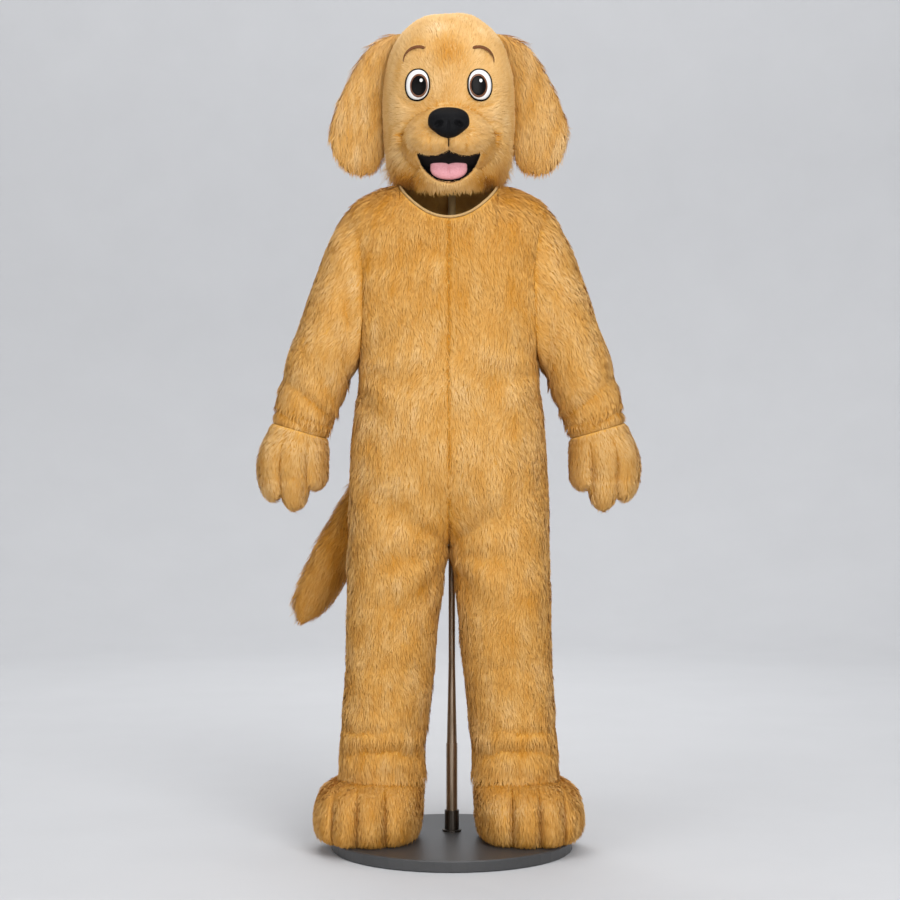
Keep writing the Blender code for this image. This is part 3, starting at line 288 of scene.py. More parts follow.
def placed(name, data):
    thing = bpy.data.objects.new(name, data)
    bpy.context.scene.collection.objects.link(thing)
    return thing


def settle(thing, body, node=None):
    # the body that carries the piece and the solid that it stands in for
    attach(thing, body)
    if node:
        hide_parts(node)
    return thing


def meshOf(name, points, faces, *materials):
    mesh = bpy.data.meshes.new(name)
    faces = np.asarray(faces, dtype=np.int32)
    corners = faces.shape[1]
    mesh.vertices.add(len(points))
    mesh.vertices.foreach_set("co", np.asarray(points, dtype=np.float32).ravel())
    mesh.loops.add(faces.size)
    mesh.loops.foreach_set("vertex_index", faces.ravel())
    mesh.polygons.add(len(faces))
    mesh.polygons.foreach_set("loop_start", np.arange(0, faces.size, corners, dtype=np.int32))
    mesh.update(calc_edges=True)
    mesh.validate()
    mesh.shade_smooth()
    for material in materials:
        mesh.materials.append(material)
    return placed(name, mesh)


def gridFaces(rows, columns, closed, flip):
    r = np.arange(rows - 1)[:, None]
    c = np.arange(columns if closed else columns - 1)[None, :]
    right = (c + 1) % columns
    corners = (r * columns + c, r * columns + right, (r + 1) * columns + right, (r + 1) * columns + c)
    faces = np.stack(np.broadcast_arrays(*corners), axis=-1).reshape(-1, 4)
    return faces[:, ::-1] if flip else faces


def wrapped(grid):
    # the first column again after the last one
    return np.concatenate((grid, grid[:, :1]), axis=1)


def looksInward(grid):
    # true where the grid's own faces look at its middle, so that they have to be turned
    normal = np.cross(np.diff(grid, axis=1)[:-1], np.diff(grid, axis=0)[:, :-1])
    middle = grid.mean(axis=1, keepdims=True)[:-1]
    return float((normal * (grid[:-1, :-1] - middle)).sum()) < 0


def smoothNormals(grid, outward=1.0):
    return unit(np.cross(np.gradient(grid, axis=0), np.gradient(grid, axis=1)) * outward)


def travelled(grid, axis):
    # metres along the cloth from the grid's first row (axis 0) or first column (axis 1)
    step = np.diff(grid, axis=axis, prepend=np.take(grid, [0], axis=axis))
    return np.cumsum(lengthOf(step)[..., 0], axis=axis)


def faceAreas(grid):
    diagonals = grid[1:, 1:] - grid[:-1, :-1], grid[:-1, 1:] - grid[1:, :-1]
    return lengthOf(np.cross(*diagonals))[..., 0] / 2


def pileMap(thing, grid, closed):
    # a flat map in metres: u round the piece, v down it
    columns = grid.shape[1]
    wide = wrapped(grid) if closed else grid
    u, v = travelled(wide, 1), travelled(wide, 0)
    mesh = thing.data
    index = np.empty(len(mesh.loops), dtype=np.int32)
    mesh.loops.foreach_get("vertex_index", index)
    row, column = np.divmod(index, columns)
    if closed:                             # the last face of a ring joins its first column again
        quads = column.reshape(-1, 4)
        last = (quads.max(axis=1) == columns - 1) & (quads.min(axis=1) == 0)
        quads[last] = np.where(quads[last] == 0, columns, quads[last])
    layer = mesh.uv_layers.new(name="pile")
    place = np.stack((u[row, column], v[row, column]), axis=-1)
    layer.data.foreach_set("uv", place.astype(np.float32).ravel())


def closeEnd(thing, grid, end, flip):
    # a fan of triangles wound the same way as the grid's own faces
    rows, columns = grid.shape[:2]
    ring = np.arange(columns) + (0 if end == "first" else (rows - 1) * columns)
    if flip != (end == "first"):
        ring = ring[::-1]
    bm = bmesh.new()
    bm.from_mesh(thing.data)
    middle = bm.verts.new(grid[0 if end == "first" else -1].mean(axis=0))
    bm.verts.ensure_lookup_table()
    for a, b in zip(ring, np.roll(ring, -1)):
        bm.faces.new((bm.verts[a], bm.verts[b], middle)).smooth = True
    bm.to_mesh(thing.data)
    bm.free()


def clothShell(name, grid, finish, inside, closed, thick=0.002, ends=()):
    # a thin shell on a grid; ends closes the first or last row with a fan to its middle
    flip = looksInward(wrapped(grid) if closed else grid)
    thing = meshOf(name, grid.reshape(-1, 3), gridFaces(*grid.shape[:2], closed, flip), finish, inside)
    pileMap(thing, grid, closed)
    for end in ends:
        closeEnd(thing, grid, end, flip)
    shell = thing.modifiers.new("cloth", "SOLIDIFY")
    shell.thickness = thick
    shell.offset = -1.0
    shell.material_offset = 1
    shell.material_offset_rim = 1
    return thing


def solidOn(name, grid, material, node=None, body="head", flip=None):
    # a closed solid on rings of points, with a fan over each end
    flip = looksInward(wrapped(grid)) if flip is None else flip
    piece = meshOf(name, grid.reshape(-1, 3), gridFaces(*grid.shape[:2], True, flip), material)
    for end in ("first", "last"):
        closeEnd(piece, grid, end, flip)
    return settle(piece, body, node)


# Fur. Each strand is a flat tapered blade of two faces, a quad and a point on top of it.

furCount = [0]
strand = {
    "bend": 70.0,               # the surface's bend, in 1/m, that counts as a full hollow
    "seamReach": 0.0045, "quickShare": 0.35,
    # wavelengths of the fields that swing, lift and dye the strands, and how long locks are
    "swing": 0.13, "twist": 0.030, "lock": 0.034, "lockLong": (1.0, 1.0, 0.32), "curl": 0.013, "slow": 0.085,
    # how much shorter the pile is in a hollow and by a seam, its painted shade in a hollow, its deeper tone
    # by a seam
    "hollowShort": 0.35, "seamShort": 0.45, "hollowShade": 0.30, "seamDeep": 0.20,
    "tuftTone": 0.040, "lockTone": 0.065, "slowTone": 0.055, "tuftRise": 0.14, "lockRise": 0.20,
    "lengthSpread": 0.22, "riseSpread": 0.15, "rollSpread": 0.5, "turnSpread": 0.13, "curlSpread": 0.07,
    "kneeAlong": 0.42, "kneeUp": 0.85, "kneeWidth": 0.85, "tipUp": 0.95, "clothLight": 0.70,
    # how far each of the five points' light leans along the strand, and its root to tip place
    "lean": (-0.16, -0.16, 0.04, 0.04, 0.16),
    "corners": (1, 0, 2, 3, 3, 2, 4), "edges": (1, -1, -1, 1, 1, -1, 0),
    "rootToTip": (0.03, 0.03, 0.5, 0.5, 0.5, 0.5, 0.97),
}


def hollows(grid, normal):
    # how sharply the surface is drawn in at each point: its bend along rows or columns, 0 to 1
    bend = np.zeros(grid.shape[:2])
    for axis in (0, 1):
        lines = np.moveaxis(grid, axis, 0)
        facing = np.moveaxis(normal, axis, 0)
        second = lines[2:] - 2 * lines[1:-1] + lines[:-2]
        step = (lengthOf(lines[2:] - lines[:-2])[..., 0] / 2) ** 2
        one = np.zeros(lines.shape[:2])
        one[1:-1] = (second * facing[1:-1]).sum(axis=-1) / np.maximum(step, 1e-7)
        bend = np.maximum(bend, np.moveaxis(one, 0, axis))
    return np.clip(bend / strand["bend"], 0, 1)


def edgeDistance(grid, seams, r, c, s, t):
    # metres from each root to the nearest sewn edge of its piece
    u, v = travelled(grid, 1), travelled(grid, 0)
    s, t = s[:, 0], t[:, 0]
    across = u[r, c] * (1 - s) + u[r, c + 1] * s
    along = v[r, c] * (1 - t) + v[r + 1, c] * t
    away = {"left": across, "right": u[r, -1] - across, "first": along, "last": v[-1, c] - along}
    return np.min([away[name] for name in seams], axis=0) if seams else np.full(len(r), 1.0)


def strandRoots(grid, spec, share, rng):
    # places spread evenly by area, each with its lie, its way out, its hollow and its seam
    down = np.diff(grid, axis=0)
    facing = smoothNormals(grid, 1.0 if looksInward(grid) else -1.0)
    drawnIn = hollows(grid, facing)
    areas = faceAreas(grid).ravel()
    count = int(areas.sum() * spec["density"] * share * (1.0))
    running = np.cumsum(areas)
    pick = np.searchsorted(running, (np.arange(count) + rng.random(count)) / count * running[-1])
    r, c = np.divmod(np.minimum(pick, len(running) - 1), grid.shape[1] - 1)
    s, t = rng.random((2, count, 1))

    def at(field):
        return ((field[r, c] * (1 - s) + field[r, c + 1] * s) * (1 - t)
                + (field[r + 1, c] * (1 - s) + field[r + 1, c + 1] * s) * t)
    lay = unit(down[r, c] * (1 - s) + down[r, c + 1] * s)
    seam = bell(edgeDistance(grid, spec.get("seams", ()), r, c, s, t) / strand["seamReach"])[:, None]
    fields = at(grid), lay, unit(at(facing)), at(drawnIn[..., None]), seam
    if "keep" in spec:
        chosen = spec["keep"](fields[0])
        fields = [field[chosen] for field in fields]
    return fields


def furOn(name, grid, spec, seed, body, share=1.0):
    rng = np.random.default_rng(seed)
    root, lay, out, hollow, seam = strandRoots(grid, spec, share, rng)
    count = len(root)
    if "lay" in spec:
        lay = spec["lay"](root, lay)
    lay = unit(lay - out * (lay * out).sum(axis=-1, keepdims=True))
    side = np.cross(out, lay)

    def given(name, usual):
        return spec[name](root)[:, None] if name in spec else usual

    # tufts: the lay swings and the tips gather on smooth fields, plus each strand's own way
    turn = (spec.get("swing", 0.28) * ripple(root, strand["swing"], seed + 1)
            + 0.13 * ripple(root, strand["twist"], seed + 2)
            + strand["turnSpread"] * rng.normal(size=count))[:, None]
    lay, side = np.cos(turn) * lay + np.sin(turn) * side, np.cos(turn) * side - np.sin(turn) * lay
    tuft = ripple(root, spec["tuft"], seed + 3)[:, None]
    lock = ripple(root * strand["lockLong"], strand["lock"], seed + 6)[:, None]
    scale = given("scale", 1.0) * (1 - strand["hollowShort"] * hollow) * (1 - strand["seamShort"] * seam)
    own = strand["lengthSpread"] * rng.normal(size=(count, 1))
    long = spec["length"] * scale * np.clip(1 + own, 0.5, 1.5)
    own = strand["riseSpread"] * rng.normal(size=(count, 1))
    rise = spec["rise"] * given("raised", 1.0) * np.clip(scale, 0.35, 1.2)
    rise = rise * (1 + strand["tuftRise"] * tuft + strand["lockRise"] * lock + own)
    knee = root + lay * long * strand["kneeAlong"] + out * rise * strand["kneeUp"]
    lifted = rise * strand["tipUp"] + long * given("flare", 0.10) * np.clip(0.6 * tuft + 0.6 * lock, 0, 1.2)
    curl = ripple(root, strand["curl"], seed + 4)[:, None]
    tip = (root + lay * long + out * lifted + side * long * 0.15 * curl
           + side * long * strand["curlSpread"] * rng.normal(size=(count, 1)))
    roll = rng.uniform(-strand["rollSpread"], strand["rollSpread"], (count, 1))
    edge = (side * np.cos(roll) + out * np.sin(roll)) * spec["width"] / 2
    kneeEdge = edge * strand["kneeWidth"]
    points = np.stack((root - edge, root + edge, knee - kneeEdge, knee + kneeEdge, tip), axis=1)

    # light falls on the strands much as on the cloth under them, so their normals lean to its own
    own = out * np.cos(roll) - side * np.sin(roll)
    lean = np.array(strand["lean"])[None, :, None]
    shared = out * strand["clothLight"] + own * (1 - strand["clothLight"])
    normals = unit(shared[:, None] + lay[:, None] * lean)

    # dye tone with painted shade in u, root to tip in v
    tuft, lock, hollow, seam = (field[:, 0] for field in (tuft, lock, hollow, seam))
    tone = spec["tone"] + strand["tuftTone"] * tuft + strand["lockTone"] * spec.get("locks", 1.0) * lock
    tone = tone + strand["slowTone"] * ripple(root, strand["slow"], seed + 5)
    # painted shade in hollows; a deeper tone beside seams
    tone = (tone + spec.get("mixed", 0.026) * rng.normal(size=count) - strand["hollowShade"] * hollow
            - strand["seamDeep"] * seam)
    # each piece's own field of dye tone and painted shade
    if "toneAndShadeOf" in spec:
        tone = tone + spec["toneAndShadeOf"](root)
    u = np.clip(tone, 0.01, 0.985)[:, None] + np.array(strand["edges"]) * 0.005
    v = np.broadcast_to(np.array(strand["rootToTip"]), u.shape)

    numbers = np.arange(count, dtype=np.int32)[:, None]
    corners = np.array(strand["corners"], dtype=np.int32)
    starts = np.array((0, 4), dtype=np.int32)
    mesh = bpy.data.meshes.new(name)
    mesh.vertices.add(count * 5)
    mesh.vertices.foreach_set("co", points.astype(np.float32).ravel())
    mesh.loops.add(count * 7)
    mesh.loops.foreach_set("vertex_index", (numbers * 5 + corners).ravel())
    mesh.polygons.add(count * 2)
    mesh.polygons.foreach_set("loop_start", (numbers * 7 + starts).ravel())
    layer = mesh.uv_layers.new(name="OFBake")
    layer.data.foreach_set("uv", np.stack((u, v), axis=-1).astype(np.float32).ravel())
    mesh.update(calc_edges=True)
    mesh.shade_smooth()
    leaning = mesh.attributes.new("custom_normal", "FLOAT_VECTOR", "POINT")
    leaning.data.foreach_set("vector", normals.astype(np.float32).ravel())
    mesh.materials.append(furStrands)
    furCount[0] += count
    return settle(placed(name, mesh), body)


def furred(name, grid, finish, spec, seed, closed=True, node=None, body="costume_and_stand",
           inside=lining, thick=0.002, ends=(), share=1.0):
    # a piece's cloth shell in place of its solid, and the pile that grows on it
    shell = clothShell(f"{name}_cloth", grid, finish, inside, closed, thick, ends)
    settle(shell, body, node or name)
    pile = furOn(f"{name}_fur", wrapped(grid) if closed else grid, spec, seed, body, share)
    return shell, pile


# The suit: four panels from the shoulders to the ankles.

suit = {
    "aside": -0.007,         # it hangs this far to one side of the pole
    "pileDepth": 0.0046,     # the cloth lies this far under the tips of its pile
    "seam": 0.0003,
    "hem": 0.162, "crotch": 0.682, "creaseTop": 0.860, "legTop": 0.560, "armpit": 1.085, "armpitX": 0.205,
    "yokeLine": 1.330, "shoulderTip": 1.452, "neckSide": 0.1145, "neckFront": 1.407, "neckBack": 1.508,
    "bodyPower": 2.4, "legPower": 2.15, "poleY": 0.060, "slitReach": 0.034,
    "slits": {1: 0.0180, -1: 0.0045},      # the seat seam opens this much round the pole
    "columns": 44, "rows": 96, "roundRows": 12,
}
# height, outer edge, reach to the front and to the back
suitForm = tableOf(("height", "outer", "front", "back"), (
    (0.162, 0.2475, 0.098, 0.090), (0.236, 0.2455, 0.099, 0.092), (0.320, 0.2395, 0.100, 0.098),
    (0.440, 0.2335, 0.104, 0.108), (0.560, 0.2310, 0.112, 0.122), (0.660, 0.2285, 0.122, 0.138),
    (0.750, 0.2268, 0.132, 0.152), (0.830, 0.2245, 0.138, 0.156), (0.920, 0.2195, 0.140, 0.148),
    (1.000, 0.2105, 0.138, 0.140), (1.054, 0.2045, 0.136, 0.136), (1.100, 0.2055, 0.134, 0.136),
    (1.150, 0.2200, 0.132, 0.137), (1.250, 0.2320, 0.130, 0.136), (1.330, 0.2350, 0.126, 0.132)))
inseam = tableOf(("height", "inner"), (
    (0.162, 0.0535), (0.236, 0.0500), (0.320, 0.0400), (0.440, 0.0290), (0.560, 0.0160),
    (0.620, 0.0085), (0.660, 0.0030), (0.682, 0.0008), (0.900, 0.0008)))
armhole = tableOf(("height", "edge"), (
    (1.085, 0.2045), (1.100, 0.1995), (1.150, 0.1945), (1.220, 0.1905), (1.280, 0.1905),
    (1.330, 0.1930), (1.390, 0.2030), (1.452, 0.2145)))
shoulder = tableOf(("x", "height"), (
    (0.0000, 1.560), (0.0600, 1.543), (0.1145, 1.498), (0.1570, 1.484), (0.1980, 1.464), (0.2145, 1.452)))
# creases round the legs: height, how far they stand out, half height, the way they face in
# degrees (0 outward, 90 to the front), how far round they reach, how much they drop
legFolds = tableOf(("height", "depth", "half", "facing", "reach", "drop"), (
    (0.198, 0.0060, 0.014, 80, 95, 0.010), (0.256, 0.0055, 0.013, 100, 90, -0.008),
    (0.300, 0.0040, 0.015, 70, 70, 0.012), (0.210, 0.0060, 0.014, 270, 95, -0.008),
    (0.268, 0.0050, 0.015, 250, 85, 0.010), (0.470, 0.0035, 0.022, 265, 70, 0.012),
    (0.228, -0.0050, 0.007, 95, 80, 0.006), (0.281, -0.0045, 0.008, 60, 70, -0.012),
    (0.236, -0.0050, 0.008, 262, 80, 0.006), (0.420, -0.0025, 0.016, 100, 60, -0.020),
    (0.560, -0.0025, 0.020, 80, 70, 0.030), (0.545, -0.0025, 0.018, 275, 65, 0.026)))


def placeOf(points):
    # across from the costume's own middle, depth and height
    return points[..., 0] - suit["aside"], points[..., 1], points[..., 2]


def suitSide(points, side):
    return points * (side, 1.0, 1.0) + (suit["aside"], 0.0, 0.0)


def furredPair(name, rings, spec, seed, ends=()):
    # the same tube on both sides of the costume, each in place of the named piece's solid for its side
    for side, word in sides:
        grid = suitSide(rings, side)
        shell, pile = furred(f"{name}_{word}", grid, suitPile, spec, seed + side, ends=ends)
    print(f"{name}s done:", furCount[0], "strands")


def foldRelief(folds, height, angle):
    # a Gaussian ridge or trough whose crest slants as it goes round, fading at its ends
    out = 0.0
    for row, fold in enumerate(rowsOf(folds)):
        turn = (np.degrees(angle) - fold["facing"] + 180) % 360 - 180
        wave = (0.0060 * np.sin(np.radians(turn) * 3.1 + 2.4 * row)
                + 0.0028 * np.sin(np.radians(turn) * 7.3 + row))
        crest = fold["height"] - fold["drop"] * turn / fold["reach"] + wave
        along = np.clip(1 - (turn / fold["reach"]) ** 2, 0, 1)
        out = out + fold["depth"] * bell((height - crest) / fold["half"]) * along
    return out * 0.85


def suitPoint(across, height, roundOver, back, inset, side):
    # across runs from the middle seam or inseam (0) to the side (1). The trunk is half of a
    # superellipse, the leg an oval of its own, and the two blend over the crotch. Above the
    # yoke line the panel turns over by roundOver quarter circles to the shoulder seam.
    yoke, power = suit["yokeLine"], suit["bodyPower"]
    theta = roundOver * np.pi / 2
    level = np.where(roundOver > 0, yoke + (suit["shoulderTip"] - yoke) * np.sin(theta), height)
    body = curveThrough(suitForm["height"], suitForm["outer"], level) - inset
    depth = curveThrough(suitForm["height"], suitForm["back" if back else "front"], level) - inset
    edge = curveThrough(armhole["height"], armhole["edge"], level)
    limit = np.where(level > suit["armpit"], np.clip(edge / body, 0, 1), 1.0)
    turn = across * np.arcsin(limit ** (power / 2))
    roundX = body * signedPower(np.sin(turn), 2 / power)
    even = easeIn((level - suit["armpit"]) / (yoke - suit["armpit"]))
    trunkX = (1 - even) * roundX + even * edge * across
    trunkY = depth * np.clip(1 - (trunkX / body) ** power, 0, 1) ** (1 / power)
    top = curveThrough(shoulder["x"], shoulder["height"], trunkX) - inset
    z = np.where(roundOver > 0, yoke + (top - yoke) * np.sin(theta), height)
    trunkY = trunkY * np.cos(theta)

    inner = curveThrough(inseam["height"], inseam["inner"], height)
    inner = inner + inset * easeIn((suit["crotch"] - 0.005 - height) / 0.07)
    middle, half = (body + inner) / 2, (body - inner) / 2
    legTurn = across * np.pi
    fold = foldRelief(legFolds, height, (np.pi - legTurn) * (-1 if back else 1) % (2 * np.pi))
    legX = middle - (half + fold) * signedPower(np.cos(legTurn), 2 / suit["legPower"])
    legY = (depth + fold) * signedPower(np.sin(legTurn), 2 / suit["legPower"])
    sink = np.clip((suit["creaseTop"] - height) / (suit["creaseTop"] - suit["crotch"]), 0.0, 1.0)
    atSeam = 1 - np.sqrt(1 - sink ** 2)
    atSide = easeIn((suit["creaseTop"] - height) / (suit["creaseTop"] - suit["legTop"]))
    aside = easeIn(across / 0.45)
    blend = (1 - aside) * atSeam + aside * atSide
    x = np.maximum((1 - blend) * trunkX + blend * legX, suit["seam"] / 2)
    y = (1 - blend) * trunkY + blend * legY
    if back:
        slit = suit["slits"][side] * np.exp(-((y - suit["poleY"]) / suit["slitReach"]) ** 4)
        x = np.where(height < suit["creaseTop"], np.maximum(x, slit), x)
    y = y + suit["seam"] / 2 if back else -y - suit["seam"] / 2
    return np.stack(np.broadcast_arrays(x, y, z), axis=-1)


def neckTurn(across, back):
    # how much of the shoulder's quarter circle is left below the neckline
    x = across * shoulder["x"][-1]
    top = curveThrough(shoulder["x"], shoulder["height"], x)
    low = suit["neckBack"] if back else suit["neckFront"]
    high = shoulder["height"][2]
    sag = np.clip(1 - (x / suit["neckSide"]) ** 2.0, 0.0, 1.0) ** 0.62
    line = high + (low - high) * sag
    turn = np.arcsin(np.clip((line - suit["yokeLine"]) / (top - suit["yokeLine"]), 0, 1)) * 2 / np.pi
    return np.where(x >= suit["neckSide"], 1.0, turn)


def suitGrid(back, inset, side):
    # rows run from the neckline and shoulder seam down to the hem, columns from the middle
    neck = suit["neckSide"] / shoulder["x"][-1]
    across = np.concatenate((np.linspace(0.0, neck, suit["columns"] // 2 + 1),
                             np.linspace(neck, 1.0, suit["columns"] // 2)[1:]))[None, :]
    turn = neckTurn(across, back) * np.linspace(1, 0, suit["roundRows"], endpoint=False)[:, None]
    upper = suitPoint(across, np.full_like(turn, suit["yokeLine"]), turn, back, inset, side)
    share = np.linspace(0, 1, suit["rows"])[:, None]
    height = suit["yokeLine"] + (suit["hem"] + 0.0005 - suit["yokeLine"]) * share
    across, height = np.broadcast_arrays(across, height)
    return np.concatenate((upper, suitPoint(across, height, np.zeros_like(height), back, inset, side)))


def foldFan(across, up, lead, rays, start, reach, spread):
    # folds that spread from a point, deepest at their reach from it
    rayed = np.sin(rays * np.arctan2(up, across + lead) + start)
    return 0.0030 * rayed * bell((np.hypot(across, up) - reach) / spread)


def drape(grid, side, back):
    # soft relief: folds fan from the crotch and the armpits, the chest and seat undulate,
    # and every seam draws in a little valley
    x, z = grid[..., 0], grid[..., 2]
    normal = smoothNormals(grid)
    if ((normal[..., 1] > 0).mean() > 0.5) != back:
        normal = -normal
    crotch = foldFan(np.abs(x), z - suit["crotch"], lead=0.02, rays=9.0, start=1.3 if back else 0.4,
                     reach=0.10, spread=0.075)
    armpit = foldFan(suit["armpitX"] - x, z - suit["armpit"], lead=0.01, rays=7.0, start=0.8 + 0.7 * back,
                     reach=0.085, spread=0.05)
    slow = 0.0022 * ripple(grid, 0.21, 11 + back + (side > 0) * 2) + 0.0010 * ripple(grid, 0.09, 21 + back)
    seam = -0.0020 * bell(x / 0.0070) * easeIn((z - suit["crotch"]) / 0.02)
    fromSide = easeIn(np.arange(grid.shape[1])[::-1] / 3.0)[None, :]
    row = np.arange(len(grid))
    still = easeIn(np.minimum(row, row[::-1]) / 5.0)[:, None] * easeIn(np.abs(x) / 0.02) * fromSide
    cuff = 0.0048 * easeIn((0.200 - z) / 0.034) * fromSide
    relief = normal * (cuff + (crotch + armpit + slow) * still)[..., None]
    relief[..., 1] += normal[..., 1] * seam
    return grid + relief


def suitLay(root, lay):
    # straight down, and outward from the neck over the shoulders
    away = unit((root - (suit["aside"], 0.0, 0.0)) * (1.0, 1.0, 0.0))
    return np.array((0.0, 0.0, -1.0)) + away * 1.3 * easeIn((root[:, 2:] - 1.36) / 0.08)


def suitToneAndShade(root):
    # painted shade in the crotch; darker round the ankles, down the middle seam and by the neckline;
    # paler on the belly and the lower legs, darker over the upper chest
    x, z = placeOf(root)[::2]
    x = np.abs(x)
    # the second term, in the crotch, is painted shade
    darkened = 0.05 * bell((z - 0.215) / 0.05) + 0.10 * bell(np.hypot(x, (z - 0.70) * 0.8) / 0.05)
    darkened = darkened + 0.05 * bell(x / 0.006) * (z > suit["crotch"])
    darkened = darkened + 0.06 * easeIn((z - 1.40) / 0.06) - 0.03 * easeIn((0.55 - z) / 0.4)
    return 0.05 * bell((z - 1.02) / 0.22) - darkened - 0.06 * easeIn((z - 1.10) / 0.15)


suitFur = {"density": 76000, "length": 0.0205, "width": 0.0025, "rise": 0.0036, "tone": 0.475, "tuft": 0.019,
           "seams": ("left", "right"), "lay": suitLay, "toneAndShadeOf": suitToneAndShade, "backShare": 0.80}
for side, word in sides:
    for back, where in enumerate(("front", "back")):
        grid = suitSide(drape(suitGrid(back, suit["pileDepth"], side), side, back), side)
        shell, pile = furred(f"suit_{where}_{word}", grid, suitPile, suitFur, 100 + 10 * back + side,
                             closed=False, share=suitFur["backShare"] if back else 1.0)
print("suit panels done:", furCount[0], "strands")


# Sleeves, from the armholes to the wrists.

sleeve = {"y": 0.004, "blend": 0.45, "rows": 60, "half": 33, "pileDepth": 0.0046,
          "holeHeights": (1.330, 1.280, 1.225, 1.170, 1.125, 1.100, 1.085), "cuffDepth": 0.0028}
# rings from shoulder to wrist: outer edge, inner edge and half depth
sleeveForm = tableOf(("outerX", "outerZ", "innerX", "innerZ", "depth"), (
    (0.2145, 1.452, 0.2045, 1.085, 0.090), (0.246, 1.422, 0.2065, 1.079, 0.095),
    (0.274, 1.360, 0.2110, 1.068, 0.097), (0.306, 1.271, 0.2200, 1.049, 0.094),
    (0.340, 1.173, 0.2320, 1.020, 0.088), (0.368, 1.087, 0.2460, 0.987, 0.082),
    (0.382, 1.040, 0.2530, 0.969, 0.077), (0.390, 1.010, 0.2590, 0.953, 0.077),
    (0.393, 0.985, 0.2640, 0.938, 0.071), (0.400, 0.957, 0.2720, 0.920, 0.066)))
# creases: gathers above the wrist, a slack elbow and drag lines from the armpit. Depth, waves
# down the sleeve, and their middle and spread as shares of its length
sleeveCreases = tableOf(("depth", "waves", "middle", "spread"), (
    (0.0020, 54, 0.86, 0.07), (0.0026, 36, 0.56, 0.10), (0.0030, 26, 0.22, 0.12)))


def armholeRing():
    # the panels' own edge, from the shoulder tip down the front, then up the back. Its first
    # five steps turn over the shoulder
    index = np.linspace(0, 11, sleeve["half"] + 1)
    turn = np.clip(1 - index / 5, 0, 1)
    height = np.interp(index, range(5, 12), sleeve["holeHeights"])
    front, back = (suitPoint(np.ones_like(index), height, turn, back, 0.0, 1) for back in (False, True))
    return np.concatenate((front, back[::-1][1:-1]))


def sleeveGrid(inset):
    # each ring is an oval between its outer and inner edge; the first ones blend from the armhole
    hole = armholeRing()
    at = np.linspace(0, 9, sleeve["rows"])
    form = formAt(sleeveForm, at)
    still = np.zeros_like(at)
    outer = np.stack((form["outerX"], still + sleeve["y"], form["outerZ"]), axis=-1)[:, None]
    inner = np.stack((form["innerX"], still + sleeve["y"], form["innerZ"]), axis=-1)[:, None]
    depth = np.stack((still, -form["depth"], still), axis=-1)[:, None]
    turn = turnsOf(len(hole))[None, :]
    ovals = ((outer + inner) / 2 + (outer - inner) / 2 * np.cos(turn)[..., None]
             + depth * np.sin(turn)[..., None])
    toMiddle = np.minimum(at, 1.0)[:, None, None]
    middle = hole.mean(axis=0)
    moved = hole - middle + middle * (1 - toMiddle) + ovals.mean(axis=1, keepdims=True) * toMiddle
    blend = easeIn(at / 9 / sleeve["blend"])[:, None, None]
    rings = (1 - blend) * moved + blend * ovals
    middle = rings.mean(axis=1, keepdims=True)
    arm = rings - middle
    rings = middle + arm * (1 - inset / lengthOf(arm))

    share = (at / 9)[:, None]
    relief = 0.0
    twists = 2.2 * np.sin(turn * 2 + 0.6), 1.9 * np.cos(turn - 0.5), 4.0 * turn
    for crease, twist in zip(rowsOf(sleeveCreases), twists):
        along = bell((share - crease["middle"]) / crease["spread"])
        relief = relief + crease["depth"] * np.sin(share * crease["waves"] + twist) * along
    soft = easeIn(share / 0.06) * easeIn((1 - share) / 0.04)
    relief = (relief + 0.0018 * ripple(rings, 0.12, 31)) * soft
    relief = relief - sleeve["cuffDepth"] * easeIn((share - 0.94) / 0.06)
    return rings + unit(rings - rings.mean(axis=1, keepdims=True)) * relief[..., None]


def sleeveToneAndShade(root):
    # painted shade in the gathers above the wrist, and darker over the shoulder
    z = root[:, 2]
    return -0.05 * bell((z - 0.985) / 0.035) - 0.07 * easeIn((z - 1.38) / 0.08)


def sleeveScale(root):
    # shorter by the cuff, where it lies flat over the mitt; the cuff's edge slopes
    x, z = placeOf(root)[::2]
    edge = 0.920 + 0.289 * (np.abs(x) - 0.272)
    return 1 - 0.45 * easeIn((edge + 0.034 - z) / 0.034)


sleeveFur = {"density": 72000, "length": 0.0200, "width": 0.0025, "rise": 0.0036, "tone": 0.52, "tuft": 0.018,
             "seams": ("first",), "toneAndShadeOf": sleeveToneAndShade, "scale": sleeveScale}
furredPair("sleeve", sleeveGrid(sleeve["pileDepth"]), sleeveFur, 140)


# Mitts: three round fingers, hollow, with the pile brushed towards the tips.

mitt = {"power": 2.2, "fingerPoints": 13, "groove": 0.30, "rows": 16, "capRows": 14, "capPower": 3.4,
        "pileDepth": 0.0045, "splits": (0.2690, 0.318, 0.378, 0.4345), "tips": (0.797, 0.758, 0.770)}
mittForm = tableOf(("outerX", "outerZ", "innerX", "innerZ", "depth"), (
    (0.400, 0.957, 0.2720, 0.920, 0.066), (0.417, 0.925, 0.2690, 0.905, 0.069),
    (0.430, 0.893, 0.2685, 0.885, 0.070), (0.4355, 0.862, 0.2685, 0.862, 0.067),
    (0.4345, 0.838, 0.2690, 0.838, 0.062)))


def fingerEnds(x, low):
    # below a level: a rounded end for each finger, deepest in its middle
    splits, tips = np.array(mitt["splits"]), np.array(mitt["tips"])
    which = np.clip(np.searchsorted(splits, x) - 1, 0, len(tips) - 1)
    lobe = np.clip((x - splits[which]) / (splits[which + 1] - splits[which]), 0, 1)
    return (low - tips[which]) * (0.45 + 0.55 * np.sqrt(1 - (2 * lobe - 1) ** 2))


